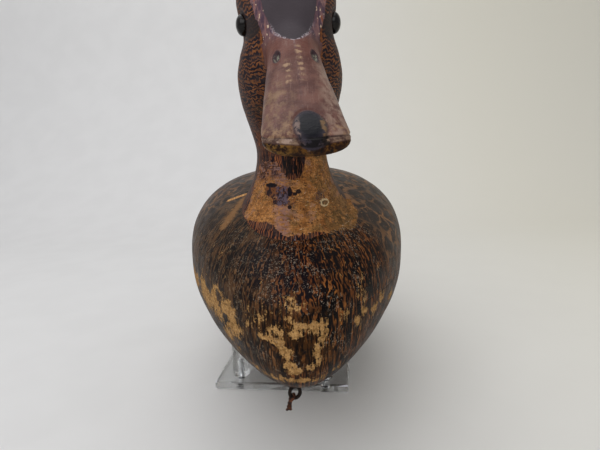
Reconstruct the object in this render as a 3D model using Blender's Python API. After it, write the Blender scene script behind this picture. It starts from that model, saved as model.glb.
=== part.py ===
"""Hollow carved duck decoy on a small clear display stand.

Metres, +Z up, bill towards -Y. The origin is the centre of the stand plate's underside.
"""
import math

import bmesh
import bpy
from mathutils import Matrix, Vector

# ---- driving dimensions (metres) -------------------------------------------------
GAP = 0.0003

PLATE_W = 0.1016
PLATE_D = 0.1270
PLATE_T = 0.00635
PLATE_CHAMFER = 0.0011
STAND_YAW = math.radians(-7.5)
STAND_X = -0.0080

POST_R = 0.00635
POST_X = 0.0330
POST_Y = 0.0505
PAD_T = 0.0020
BOTTOM_Z = 0.0450

BODY_FRONT_Y = -0.1781
BODY_MID_Y = -0.0300
BODY_TAIL_Y = 0.2050
BODY_HALF_W = 0.0787
BODY_KEEL_Z = 0.0380
BODY_TOP_Z = 0.1651
SEAM_Z = 0.1000
WALL = 0.0140

HEAD_TURN = math.radians(3.0)
HEAD_LEAN = 0.022
EYE_X = 0.0216
EYE_Y = -0.1490
EYE_Z = 0.2383
EYE_R = 0.0050

DOWEL_R = 0.0080
DOWEL_Y = -0.0880

TIE_X = -0.0035
TIE_Y = -0.1390
TIE_Z = 0.0424
TIE_RING_R = 0.0031
TIE_WIRE_R = 0.0011
TIE_HANG = math.radians(35.0)


# ---- plumbing -----------------------------------------------------------------------
def clear_scene():
    for ob in list(bpy.data.objects):
        bpy.data.objects.remove(ob, do_unlink=True)
    for me in list(bpy.data.meshes):
        bpy.data.meshes.remove(me)


def new_collection(name):
    coll = bpy.data.collections.new(name)
    bpy.context.scene.collection.children.link(coll)
    return coll


def material(name, colour, roughness, metallic=0.0, transmission=0.0):
    mat = bpy.data.materials.new(name)
    mat.use_nodes = True
    bsdf = mat.node_tree.nodes["Principled BSDF"]
    bsdf.inputs["Base Color"].default_value = (*colour, 1.0)
    bsdf.inputs["Roughness"].default_value = roughness
    bsdf.inputs["Metallic"].default_value = metallic
    bsdf.inputs["Transmission Weight"].default_value = transmission
    mat.diffuse_color = (*colour, 1.0)
    return mat


def add_object(name, bm, coll, mat=None):
    bmesh.ops.recalc_face_normals(bm, faces=bm.faces)
    me = bpy.data.meshes.new(name)
    bm.to_mesh(me)
    bm.free()
    ob = bpy.data.objects.new(name, me)
    coll.objects.link(ob)
    if mat is not None:
        me.materials.append(mat)
    return ob


def smooth(ob):
    for poly in ob.data.polygons:
        poly.use_smooth = True


def cutter(name, bm):
    ob = add_object(name, bm, CUTTERS)
    ob.hide_render = True
    ob.display_type = "WIRE"
    return ob


def boolean(ob, tool, operation="DIFFERENCE"):
    mod = ob.modifiers.new(tool.name, "BOOLEAN")
    mod.operation = operation
    mod.solver = "EXACT"
    mod.object = tool


def signed_power(value, exponent):
    return math.copysign(abs(value) ** exponent, value)


def smoothstep(value):
    value = min(1.0, max(0.0, value))
    return value * value * (3.0 - 2.0 * value)


def table(rows, key):
    """Smooth (Catmull-Rom) reading of rows (key, value, ...) at key."""
    if key <= rows[0][0]:
        return rows[0][1:]
    if key >= rows[-1][0]:
        return rows[-1][1:]
    index = max(i for i in range(len(rows) - 1) if rows[i][0] <= key)
    a = rows[index]
    b = rows[index + 1]
    before = rows[max(index - 1, 0)]
    after = rows[min(index + 2, len(rows) - 1)]
    span = b[0] - a[0]
    t = (key - a[0]) / span
    values = []
    for col in range(1, len(a)):
        slope_a = (b[col] - before[col]) / max(b[0] - before[0], 1e-9) * span
        slope_b = (after[col] - a[col]) / max(after[0] - a[0], 1e-9) * span
        h00 = 2 * t ** 3 - 3 * t ** 2 + 1
        h10 = t ** 3 - 2 * t ** 2 + t
        h01 = -2 * t ** 3 + 3 * t ** 2
        h11 = t ** 3 - t ** 2
        values.append(h00 * a[col] + h10 * slope_a + h01 * b[col] + h11 * slope_b)
    return tuple(values)


def loft(rings, poles=(None, None)):
    """Closed skin through rings of equal point count, ended by a pole or an n-gon."""
    bm = bmesh.new()
    loops = [[bm.verts.new(p) for p in ring] for ring in rings]
    count = len(loops[0])
    for ring_a, ring_b in zip(loops[:-1], loops[1:]):
        for i in range(count):
            j = (i + 1) % count
            bm.faces.new((ring_a[i], ring_a[j], ring_b[j], ring_b[i]))
    for ring, pole in ((loops[0], poles[0]), (loops[-1], poles[1])):
        if pole is None:
            bm.faces.new(ring)
            continue
        tip = bm.verts.new(pole)
        for i in range(count):
            bm.faces.new((ring[i], ring[(i + 1) % count], tip))
    return bm


def revolve(profile, segments, matrix=None):
    """Solid of revolution about local Z from (radius, z) pairs; radius 0 makes a pole."""
    start = (0.0, 0.0, profile[0][1])
    end = (0.0, 0.0, profile[-1][1])
    rings = []
    for radius, z in profile:
        if radius <= 0.0:
            continue
        ring = []
        for i in range(segments):
            angle = 2.0 * math.pi * i / segments
            ring.append((radius * math.cos(angle), radius * math.sin(angle), z))
        rings.append(ring)
    first = start if profile[0][0] <= 0.0 else None
    last = end if profile[-1][0] <= 0.0 else None
    bm = loft(rings, (first, last))
    if matrix is not None:
        bm.transform(matrix)
    return bm


def cylinder(radius, z0, z1, segments=24, matrix=None):
    return revolve([(radius, z0), (radius, z1)], segments, matrix)


def tube_along(points, radius, segments, closed=False):
    """Round rod through points, with frames carried along the path."""
    pts = [Vector(p) for p in points]
    count = len(pts)
    rings = []
    normal = None
    for i, p in enumerate(pts):
        ahead = pts[(i + 1) % count] if closed or i < count - 1 else p
        behind = pts[i - 1] if closed or i > 0 else p
        tangent = (ahead - behind).normalized()
        if normal is None:
            side = Vector((1, 0, 0)) if abs(tangent.x) < 0.9 else Vector((0, 0, 1))
            normal = tangent.cross(side).normalized()
        normal = (normal - tangent * normal.dot(tangent)).normalized()
        other = tangent.cross(normal)
        ring = []
        for k in range(segments):
            angle = 2.0 * math.pi * k / segments
            ring.append(p + radius * (math.cos(angle) * normal + math.sin(angle) * other))
        rings.append(ring)
    if not closed:
        return loft(rings)
    bm = bmesh.new()
    loops = [[bm.verts.new(p) for p in ring] for ring in rings]
    for a in range(count):
        ring_a = loops[a]
        ring_b = loops[(a + 1) % count]
        for k in range(segments):
            j = (k + 1) % segments
            bm.faces.new((ring_a[k], ring_a[j], ring_b[j], ring_b[k]))
    return bm


def axis_matrix(origin, direction):
    """Local +Z to direction, placed at origin."""
    turn = Vector((0, 0, 1)).rotation_difference(Vector(direction).normalized())
    return Matrix.Translation(Vector(origin)) @ turn.to_matrix().to_4x4()


# ---- body shape -----------------------------------------------------------------------
# behind the widest station: share of the way to the tail, half width / full half width,
# top z, lowest z, z of the widest line, lower and upper section exponents
BACK_ROWS = (
    (0.00, 1.000, 0.1651, 0.0380, 0.1086, 2.45, 2.50),
    (0.12, 1.002, 0.1660, 0.0380, 0.1090, 2.50, 2.45),
    (0.25, 0.975, 0.1650, 0.0384, 0.1102, 2.50, 2.32),
    (0.38, 0.920, 0.1622, 0.0410, 0.1122, 2.45, 2.25),
    (0.50, 0.838, 0.1580, 0.0470, 0.1148, 2.35, 2.15),
    (0.62, 0.722, 0.1520, 0.0585, 0.1182, 2.20, 2.08),
    (0.73, 0.585, 0.1470, 0.0740, 0.1220, 2.10, 2.05),
    (0.82, 0.462, 0.1437, 0.0910, 0.1256, 2.05, 2.05),
    (0.89, 0.372, 0.1420, 0.1065, 0.1285, 2.05, 2.05),
    (0.95, 0.300, 0.1408, 0.1185, 0.1305, 2.10, 2.10),
    (0.985, 0.235, 0.1393, 0.1245, 0.1318, 2.15, 2.15),
    (1.00, 0.150, 0.1365, 0.1280, 0.1323, 2.20, 2.20),
)


def body_station(y):
    """Half width, upper height, lower height, widest z and exponents at y."""
    if y >= BODY_MID_Y:
        t = (y - BODY_MID_Y) / (BODY_TAIL_Y - BODY_MID_Y)
        share, top, low, wide_z, n_low, n_up = table(BACK_ROWS, t)
        return BODY_HALF_W * share, top - wide_z, wide_z - low, wide_z, n_low, n_up
    u = (BODY_MID_Y - y) / (BODY_MID_Y - BODY_FRONT_Y)
    u = min(u, 0.9999)
    wide_z = 0.1086 - 0.0062 * u * u
    half = BODY_HALF_W * (1.0 - u ** 1.68) ** (1.0 / 1.68)
    low = (wide_z - BODY_KEEL_Z) * (1.0 - u ** 3.19) ** (1.0 / 3.19)
    top = (BODY_TOP_Z - wide_z) * (1.0 - u ** 1.35) ** (1.0 / 1.35)
    n_low = 2.45 - 0.49 * smoothstep(u / 0.55)
    return half, top, low, wide_z, n_low, 2.50


def body_ring(y, inset, points):
    half, top, low, wide_z, n_low, n_up = body_station(y)
    half -= inset
    top -= inset
    low -= inset
    ring = []
    for i in range(points):
        angle = 2.0 * math.pi * (i + 0.5) / points
        c = math.cos(angle)
        s = math.sin(angle)
        n = n_up if s > 0 else n_low
        height = top if s > 0 else low
        x = half * signed_power(c, 2.0 / n)
        z = wide_z + height * signed_power(s, 2.0 / n)
        ring.append((x, y, z))
    return ring


def body_outer():
    ys = []
    front = 17
    for i in range(front):
        u = math.sin(0.5 * math.pi * (front - i) / (front + 0.6))
        ys.append(BODY_MID_Y - u * (BODY_MID_Y - BODY_FRONT_Y))
    back = 17
    for i in range(back + 1):
        t = i / back
        ys.append(BODY_MID_Y + (1.0 - (1.0 - t) ** 1.25) * (BODY_TAIL_Y - BODY_MID_Y))
    rings = [body_ring(y, 0.0, 40) for y in ys]
    nose = (0.0, BODY_FRONT_Y, body_station(BODY_FRONT_Y)[3])
    tail = (0.0, BODY_TAIL_Y + 0.0012, 0.1323)
    return loft(rings, (nose, tail))


def body_cavity():
    """Hollow inside, stopping behind the solid neck block and before the tail."""
    ys = [-0.034, -0.029, -0.018, -0.002, 0.018, 0.040, 0.065, 0.085, 0.100, 0.108]
    shrink = [0.022, 0.017, 0.0145, WALL, WALL, WALL, WALL, 0.0145, 0.017, 0.022]
    rings = [body_ring(y, d, 24) for y, d in zip(ys, shrink)]
    return loft(rings)


def seam_box(low, high):
    bm = bmesh.new()
    bmesh.ops.create_cube(bm, size=1.0)
    size = Matrix.Diagonal((0.30, 0.60, high - low, 1.0))
    bm.transform(Matrix.Translation((0.0, 0.02, 0.5 * (low + high))) @ size)
    return bm


# ---- head shape --------------------------------------------------------------------------
# height, front y, back y, half width, section exponent
HEAD_ROWS = (
    (0.1460, -0.1420, -0.0460, 0.0350, 2.10),
    (0.1520, -0.1340, -0.0510, 0.0305, 2.10),
    (0.1600, -0.1245, -0.0560, 0.0262, 2.15),
    (0.1700, -0.1165, -0.0605, 0.0228, 2.20),
    (0.1800, -0.1150, -0.0635, 0.0218, 2.25),
    (0.1900, -0.1225, -0.0660, 0.0236, 2.30),
    (0.2000, -0.1380, -0.0695, 0.0258, 2.35),
    (0.2090, -0.1535, -0.0735, 0.0270, 2.40),
    (0.2170, -0.1630, -0.0775, 0.0268, 2.40),
    (0.2250, -0.1685, -0.0815, 0.0247, 2.40),
    (0.2320, -0.1712, -0.0850, 0.0227, 2.40),
    (0.2390, -0.1708, -0.0880, 0.0223, 2.40),
    (0.2460, -0.1680, -0.0910, 0.0238, 2.45),
    (0.2530, -0.1630, -0.0945, 0.0242, 2.40),
    (0.2590, -0.1560, -0.0990, 0.0220, 2.30),
    (0.2635, -0.1475, -0.1050, 0.0170, 2.20),
    (0.2660, -0.1390, -0.1120, 0.0100, 2.10),
)

# along the bill: y and z of the middle, half width, height above and below the middle
BILL_ROWS = (
    (0.00, -0.1480, 0.2270, 0.0118, 0.0150, 0.0200),
    (0.16, -0.1640, 0.2190, 0.0119, 0.0150, 0.0165),
    (0.30, -0.1770, 0.2110, 0.0120, 0.0125, 0.0140),
    (0.45, -0.1895, 0.2020, 0.0127, 0.0100, 0.0115),
    (0.60, -0.2010, 0.1937, 0.0140, 0.0080, 0.0090),
    (0.72, -0.2100, 0.1874, 0.0147, 0.0068, 0.0074),
    (0.82, -0.2175, 0.1828, 0.0151, 0.0058, 0.0058),
    (0.90, -0.2230, 0.1796, 0.0153, 0.0052, 0.0048),
    (0.95, -0.2265, 0.1775, 0.0145, 0.0046, 0.0041),
    (0.985, -0.2290, 0.1758, 0.0115, 0.0037, 0.0033),
    (1.00, -0.2300, 0.1750, 0.0070, 0.0026, 0.0023),
)
BILL_DOWN = math.radians(38.0)
BILL_RAISE = 0.0030


def head_place(point):
    """The carver's slight lean and turn of the head, fading out into the neck base."""
    x, y, z = point
    angle = HEAD_TURN * smoothstep((z - 0.150) / 0.030)
    pivot = DOWEL_Y
    turned_x = x * math.cos(angle) - (y - pivot) * math.sin(angle)
    turned_y = x * math.sin(angle) + (y - pivot) * math.cos(angle) + pivot
    return (turned_x - HEAD_LEAN * max(0.0, z - 0.150), turned_y, z)


def head_ring(z, grow, points):
    """Egg section, fuller towards the cheeks; the lowest ones tilt to follow the chest."""
    front, back, half, n = table(HEAD_ROWS, z)
    tilt = 0.32 * (1.0 - smoothstep((z - 0.146) / 0.034))
    egg = 0.12 * smoothstep((z - 0.185) / 0.020)
    mid = 0.5 * (front + back)
    length = 0.5 * (back - front)
    ring = []
    for i in range(points):
        angle = 2.0 * math.pi * (i + 0.5) / points
        along = signed_power(math.sin(angle), 2.0 / n)
        x = (half + grow) * signed_power(math.cos(angle), 2.0 / n) * (1.0 - egg * along)
        y = mid + (length + grow) * along
        px, py, pz = head_place((x, y, z))
        ring.append((px, py, pz + tilt * (y - DOWEL_Y)))
    return ring


def head_stack():
    heights = [0.1460, 0.1490, 0.152, 0.156, 0.160, 0.165, 0.170, 0.175, 0.180, 0.185, 0.190]
    heights += [0.195, 0.200, 0.2045, 0.209, 0.213, 0.217, 0.221, 0.225, 0.2285, 0.232]
    heights += [0.2355, 0.239, 0.2425, 0.246, 0.2495, 0.253, 0.256, 0.259, 0.2615, 0.2635]
    heights += [0.2652, 0.2660]
    rings = [head_ring(z, 0.0, 28) for z in heights]
    return loft(rings, (None, head_place((0.0, -0.1250, 0.2668))))


def neck_socket():
    """Neck base grown by the gap, open upwards."""
    heights = [0.1460, 0.1490, 0.152, 0.156, 0.160, 0.165, 0.170, 0.175]
    rings = [head_ring(z, GAP, 28) for z in heights]
    base = [(x, y, z - 1.1 * GAP) for x, y, z in rings[0]]
    return loft([base] + rings)


def bill_loft():
    across_up = Vector((0.0, -math.sin(BILL_DOWN), math.cos(BILL_DOWN)))
    stations = [0.0, 0.08, 0.16, 0.23, 0.30, 0.38, 0.45, 0.53, 0.60, 0.66, 0.72, 0.77, 0.82]
    stations += [0.86, 0.90, 0.925, 0.95, 0.97, 0.985, 1.0]
    rings = []
    for s in stations:
        y, z, half, up, down = table(BILL_ROWS, s)
        centre = Vector((0.0, y, z + BILL_RAISE))
        ring = []
        for i in range(24):
            angle = 2.0 * math.pi * (i + 0.5) / 24
            c = math.cos(angle)
            sn = math.sin(angle)
            height = up if sn > 0 else down
            n = 2.0 if sn > 0 else 2.3
            p = centre + Vector((half * signed_power(c, 2.0 / n), 0.0, 0.0))
            p += across_up * (height * signed_power(sn, 2.0 / n))
            ring.append(head_place(p))
        rings.append(ring)
    tip = head_place((0.0, -0.2305, 0.1746 + BILL_RAISE))
    return loft(rings, (None, tip))


# ---- wooden pieces ---------------------------------------------------------------------
def make_body():
    outer = cutter("cut_body_outer", body_outer())
    cavity = cutter("cut_body_cavity", body_cavity())
    socket = cutter("cut_neck_socket", neck_socket())
    for name, low, high in (
        ("upper_body", SEAM_Z + 0.5 * GAP, 0.30),
        ("lower_body", BOTTOM_Z, SEAM_Z - 0.5 * GAP),
    ):
        ob = add_object(name, seam_box(low, high), PARTS, WOOD_DARK)
        boolean(ob, outer, "INTERSECT")
        boolean(ob, cavity)
        if name == "upper_body":
            boolean(ob, socket)
            boolean(ob, cutter("cut_dowel_body", dowel_hole()))


def dowel_hole():
    place = Matrix.Translation((0.0, DOWEL_Y, 0.0))
    return cylinder(DOWEL_R + GAP, 0.1180, 0.1900, 28, place)


def eye_matrix(side):
    outward = (side * math.cos(HEAD_TURN), side * math.sin(HEAD_TURN), 0.0)
    return axis_matrix(head_place((side * EYE_X, EYE_Y, EYE_Z)), outward)


def make_head():
    ob = add_object("head", head_stack(), PARTS, WOOD_HEAD)
    boolean(ob, cutter("join_bill", bill_loft()), "UNION")
    boolean(ob, cutter("cut_dowel_head", dowel_hole()))
    for side in (-1, 1):
        place = eye_matrix(side)
        seat = cylinder(EYE_R + GAP, -0.0035, 0.0200, 24, place)
        boolean(ob, cutter("cut_eye_%s" % SIDE[side], seat))
        hole = cylinder(0.0006 + GAP, -0.0170, 0.0, 12, place)
        boolean(ob, cutter("cut_wire_%s" % SIDE[side], hole))


def make_dowel():
    place = Matrix.Translation((0.0, DOWEL_Y, 0.0))
    c = 0.0008
    profile = [
        (DOWEL_R - c, 0.1185),
        (DOWEL_R, 0.1185 + c),
        (DOWEL_R, 0.1895 - c),
        (DOWEL_R - c, 0.1895),
    ]
    add_object("neck_dowel", revolve(profile, 28, place), PARTS, WOOD_BARE)


def make_eyes():
    for side in (-1, 1):
        place = eye_matrix(side)
        r = EYE_R
        profile = [(r - 0.0006, -0.0029), (r, -0.0022), (r, 0.0002)]
        for k in range(1, 8):
            angle = 0.5 * math.pi * k / 8
            profile.append((r * math.cos(angle), 0.0002 + 0.0033 * math.sin(angle)))
        profile.append((0.0, 0.0002 + 0.0033))
        add_object("eye_%s" % SIDE[side], revolve(profile, 24, place), PARTS, GLASS_EYE)
        wire = cylinder(0.0006, -0.0160, -0.0032, 12, place)
        add_object("eye_wire_%s" % SIDE[side], wire, PARTS, IRON)


NAIL_SPOTS = (
    ("front_l", -0.0440, -0.1080),
    ("front_r", 0.0440, -0.1080),
    ("mid_l", -0.0685, -0.0250),
    ("mid_r", 0.0685, -0.0250),
    ("rear_l", -0.0620, 0.0700),
    ("rear_r", 0.0620, 0.0700),
    ("tail", 0.0, 0.1420),
    ("breast", 0.0, -0.1400),
)


def nail_bm(length, place, grow=0.0):
    head_r = 0.0022 + grow
    shank_r = 0.0010 + grow
    profile = [
        (head_r, -grow * 60.0),
        (head_r, 0.0009 + grow),
        (shank_r, 0.0009 + grow * 1.001 + 0.00002),
        (shank_r, length - 0.0035 + grow),
        (0.0, length + grow),
    ]
    return revolve(profile, 16, place)


def lower_surface_z(x, y):
    """Underside height of the body loft above a plan position."""
    half, top, low, wide_z, n_low, n_up = body_station(y)
    share = min(abs(x) / half, 0.999)
    return wide_z - low * (1.0 - share ** n_low) ** (1.0 / n_low)


def make_body_nails():
    lower = bpy.data.objects["lower_body"]
    upper = bpy.data.objects["upper_body"]
    for label, x, y in NAIL_SPOTS:
        start = max(lower_surface_z(x, y) + 0.0030, BOTTOM_Z + 0.0030)
        end = min(SEAM_Z + 0.0180, start + 0.0600)
        start = max(start, end - 0.0600)
        place = axis_matrix((x, y, start), (0, 0, 1))
        length = end - start
        nail = nail_bm(length, place)
        add_object("body_nail_%s" % label, nail, PARTS, IRON)
        tool = cutter("cut_nail_%s" % label, nail_bm(length, place, GAP))
        boolean(lower, tool)
        boolean(upper, tool)


def make_neck_nails():
    """Two nails toed through the front of the neck base into the body."""
    head = bpy.data.objects["head"]
    upper = bpy.data.objects["upper_body"]
    for label, x in (("l", -0.0060), ("r", 0.0075)):
        place = axis_matrix((x, -0.1165, 0.1590), (0.0, 0.62, -0.78))
        add_object("neck_nail_%s" % label, nail_bm(0.0300, place), PARTS, IRON)
        tool = cutter("cut_neck_nail_%s" % label, nail_bm(0.0300, place, GAP))
        boolean(head, tool)
        boolean(upper, tool)


# ---- ballast and line tie ----------------------------------------------------------------
def box_bm(size, centre, bevel=0.0):
    bm = bmesh.new()
    bmesh.ops.create_cube(bm, size=1.0)
    bm.transform(Matrix.Translation(centre) @ Matrix.Diagonal((*size, 1.0)))
    if bevel > 0.0:
        bmesh.ops.bevel(
            bm, geom=list(bm.edges), offset=bevel, segments=2, profile=0.5, affect="EDGES"
        )
    return bm


def make_ballast():
    lower = bpy.data.objects["lower_body"]
    size = (0.0240, 0.0760, 0.0055)
    centre_z = BOTTOM_Z + 0.5 * size[2] - 0.0012
    weight = add_object(
        "ballast_weight", box_bm(size, (0, 0.0050, centre_z), 0.0008), PARTS, LEAD
    )
    pocket = box_bm(
        (size[0] + 2 * GAP, size[1] + 2 * GAP, size[2] + 2 * GAP), (0, 0.0050, centre_z)
    )
    boolean(lower, cutter("cut_ballast", pocket))
    for label, y in (("front", -0.0220), ("rear", 0.0320)):
        place = axis_matrix((0.0, y, BOTTOM_Z - 0.0010), (0, 0, 1))
        nail = nail_bm(0.0110, place)
        add_object("ballast_nail_%s" % label, nail, PARTS, IRON)
        tool = cutter("cut_ballast_nail_%s" % label, nail_bm(0.0110, place, GAP))
        boolean(weight, tool)
        boolean(lower, tool)


def make_line_tie():
    """Iron screw eye under the breast."""
    lower = bpy.data.objects["lower_body"]
    ring_r = TIE_RING_R
    wire_r = TIE_WIRE_R
    centre = Vector((TIE_X, TIE_Y, TIE_Z))
    upward = Vector((0.0, 0.25, 0.97)).normalized()
    across = Vector((0.94, 0.34, 0.0)).normalized()
    across = (across - upward * across.dot(upward)).normalized()
    path = []
    for i in range(24):
        angle = 2.0 * math.pi * i / 24
        path.append(centre + ring_r * (math.cos(angle) * across + math.sin(angle) * upward))
    eye = add_object(
        "line_tie_eye", tube_along(path, wire_r, 10, closed=True), PARTS, IRON
    )
    stem_start = centre + upward * (ring_r + 0.0002)
    stem = cylinder(0.0011, 0.0, 0.0200, 12, axis_matrix(stem_start, upward))
    boolean(eye, cutter("join_tie_stem", stem), "UNION")
    hole = cylinder(0.0011 + GAP, 0.0010, 0.0205, 12, axis_matrix(stem_start, upward))
    boolean(lower, cutter("cut_tie_stem", hole))
    return centre, upward, across


def make_tie_loop():
    """Twisted wire remnant: a small ring through the eye with a twisted tail."""
    centre = Vector((TIE_X, TIE_Y, TIE_Z))
    upward = Vector((0.0, 0.25, 0.97)).normalized()
    across = Vector((0.94, 0.34, 0.0)).normalized()
    across = (across - upward * across.dot(upward)).normalized()
    facing = across.cross(upward).normalized()
    r = 0.00215
    w = 0.00080
    away = -(upward * math.cos(TIE_HANG) + across * math.sin(TIE_HANG))
    ring_centre = centre + away * (TIE_RING_R + r - w - TIE_WIRE_R - 0.00010)
    down = Vector((-0.15, 0.0, -0.99)).normalized()
    path = []
    for i in range(20):
        angle = 2.0 * math.pi * i / 20
        path.append(ring_centre + r * (math.cos(angle) * facing + math.sin(angle) * away))
    loop = add_object("line_tie_loop", tube_along(path, w, 8, closed=True), PARTS, RUST)
    start = ring_centre + away * (r + 0.0001)
    side = down.cross(facing).normalized()
    for strand in (0, 1):
        points = []
        steps = 16
        for i in range(steps + 1):
            s = i / steps
            angle = 2.0 * math.pi * 1.3 * s + math.pi * strand
            spread = 0.00050 + 0.00062 * s * s
            offset = spread * (math.cos(angle) * facing + math.sin(angle) * side)
            points.append(start + down * (0.0054 * s) + offset)
        strand_bm = tube_along(points, w, 8)
        boolean(loop, cutter("join_strand_%d" % strand, strand_bm), "UNION")


# ---- stand -------------------------------------------------------------------------------
def stand_matrix():
    return Matrix.Translation((STAND_X, 0.0, 0.0)) @ Matrix.Rotation(STAND_YAW, 4, "Z")


def make_stand():
    turn = stand_matrix()
    bm = box_bm((PLATE_W, PLATE_D, PLATE_T), (0, 0, 0.5 * PLATE_T))
    rim = [e for e in bm.edges]
    bmesh.ops.bevel(
        bm, geom=rim, offset=PLATE_CHAMFER, segments=1, profile=0.5, affect="EDGES"
    )
    bm.transform(turn)
    plate = add_object("stand_plate", bm, PARTS, ACRYLIC)
    post_low = PLATE_T + GAP
    post_high = BOTTOM_Z - GAP - PAD_T - GAP
    for label, sx, sy in (("fl", -1, -1), ("fr", 1, -1), ("bl", -1, 1), ("br", 1, 1)):
        place = turn @ Matrix.Translation((sx * POST_X, sy * POST_Y, 0.0))
        c = 0.0004
        profile = [
            (POST_R - c, post_low),
            (POST_R, post_low + c),
            (POST_R, post_high - c),
            (POST_R - c, post_high),
        ]
        post = add_object("stand_post_%s" % label, revolve(profile, 36, place), PARTS, ACRYLIC)
        pad = [
            (POST_R - 0.0010, post_high + GAP),
            (POST_R - 0.0007, post_high + GAP + 0.0003),
            (POST_R - 0.0007, BOTTOM_Z - GAP - 0.0004),
            (POST_R - 0.0012, BOTTOM_Z - GAP),
        ]
        add_object("stand_pad_%s" % label, revolve(pad, 28, place), PARTS, SILICONE)
        screw = [
            (0.0034, 0.0006),
            (0.0034, 0.0010),
            (0.0015, 0.0030),
            (0.0015, 0.0190),
            (0.0, 0.0205),
        ]
        add_object("stand_screw_%s" % label, revolve(screw, 20, place), PARTS, STEEL)
        sink = [
            (0.0037, -0.0010),
            (0.0037, 0.0012),
            (0.0018, 0.0033),
            (0.0018, 0.0193),
            (0.0, 0.0210),
        ]
        tool = cutter("cut_screw_%s" % label, revolve(sink, 20, place))
        boolean(plate, tool)
        boolean(post, tool)


# ---- build ---------------------------------------------------------------------------------
clear_scene()
PARTS = new_collection("duck_decoy")
CUTTERS = new_collection("cutters")
SIDE = {-1: "l", 1: "r"}

WOOD_DARK = material("painted_wood_body", (0.045, 0.030, 0.024), 0.65)
WOOD_HEAD = material("painted_wood_head", (0.140, 0.060, 0.030), 0.60)
WOOD_BARE = material("bare_wood", (0.480, 0.300, 0.160), 0.70)
GLASS_EYE = material("eye_glass", (0.015, 0.010, 0.008), 0.05)
IRON = material("iron", (0.070, 0.060, 0.055), 0.60, 0.9)
RUST = material("rusty_wire", (0.200, 0.090, 0.045), 0.80, 0.3)
LEAD = material("lead", (0.230, 0.230, 0.240), 0.55, 1.0)
STEEL = material("steel", (0.600, 0.600, 0.610), 0.30, 1.0)
ACRYLIC = material("clear_acrylic", (0.900, 0.930, 0.930), 0.03, 0.0, 1.0)
SILICONE = material("clear_silicone", (0.860, 0.880, 0.880), 0.35, 0.0, 0.8)

make_body()
make_head()
make_dowel()
make_eyes()
make_body_nails()
make_neck_nails()
make_ballast()
make_line_tie()
make_tie_loop()
make_stand()
for part_ob in PARTS.objects:
    smooth(part_ob)
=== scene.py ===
"""Looks of a carved duck decoy on a small clear stand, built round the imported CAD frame."""

import math

import bmesh
import bpy
import numpy as np
from mathutils import Matrix, Vector


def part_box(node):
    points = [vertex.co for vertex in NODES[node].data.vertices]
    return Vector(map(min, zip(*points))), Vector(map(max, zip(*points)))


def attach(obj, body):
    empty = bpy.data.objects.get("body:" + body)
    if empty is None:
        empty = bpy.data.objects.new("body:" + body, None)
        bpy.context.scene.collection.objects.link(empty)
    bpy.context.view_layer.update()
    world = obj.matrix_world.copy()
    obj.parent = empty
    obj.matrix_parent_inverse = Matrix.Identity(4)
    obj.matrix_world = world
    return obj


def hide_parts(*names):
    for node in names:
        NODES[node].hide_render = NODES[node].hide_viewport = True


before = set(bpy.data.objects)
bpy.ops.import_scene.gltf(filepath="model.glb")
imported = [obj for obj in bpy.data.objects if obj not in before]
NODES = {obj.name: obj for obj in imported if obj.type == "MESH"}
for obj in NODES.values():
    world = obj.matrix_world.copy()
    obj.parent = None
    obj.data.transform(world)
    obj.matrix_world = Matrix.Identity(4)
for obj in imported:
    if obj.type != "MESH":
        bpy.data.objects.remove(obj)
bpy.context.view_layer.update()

MM = 0.001
SEAM_Z = 0.5 * (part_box("lower_body")[1].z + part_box("upper_body")[0].z)
BOTTOM_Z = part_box("lower_body")[0].z


# ---- small numeric helpers ----
def spow(value, exponent):
    return np.sign(value) * np.abs(value) ** exponent


def sstep(lo, hi, value):
    t = np.clip((np.asarray(value, float) - lo) / (hi - lo), 0.0, 1.0)
    return t * t * (3.0 - 2.0 * t)


def bump(value, centre, half):
    """Smooth hill of height 1 at centre, gone at centre +- half."""
    return 1.0 - sstep(0.0, 1.0, np.abs((np.asarray(value) - centre) / half))


def table(rows, key):
    """Smooth (Catmull-Rom) reading of rows (key, value, ...)."""
    rows = np.asarray(rows, float)
    keys = rows[:, 0]
    key = np.clip(np.atleast_1d(np.asarray(key, float)), keys[0], keys[-1])
    i = np.clip(np.searchsorted(keys, key, side="right") - 1, 0, len(keys) - 2)
    before = np.maximum(i - 1, 0)
    after = np.minimum(i + 2, len(keys) - 1)
    a, b = rows[i, 1:], rows[i + 1, 1:]
    span = (keys[i + 1] - keys[i])[:, None]
    t = (key - keys[i])[:, None] / span
    da = (b - rows[before, 1:]) / (keys[i + 1] - keys[before])[:, None] * span
    db = (rows[after, 1:] - a) / (keys[after] - keys[i])[:, None] * span
    return (
        (2 * t ** 3 - 3 * t ** 2 + 1) * a
        + (t ** 3 - 2 * t ** 2 + t) * da
        + (-2 * t ** 3 + 3 * t ** 2) * b
        + (t ** 3 - t ** 2) * db
    )


def hashed(ix, iy, iz, seed):
    n = ix * 374761393 + iy * 668265263 + iz * 2147483647 % 987654321 + seed * 974634777
    n = (n ^ (n >> 13)) * 1274126177
    n = n ^ (n >> 16)
    return (n & 0xFFFFFF) / float(0xFFFFFF)


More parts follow.
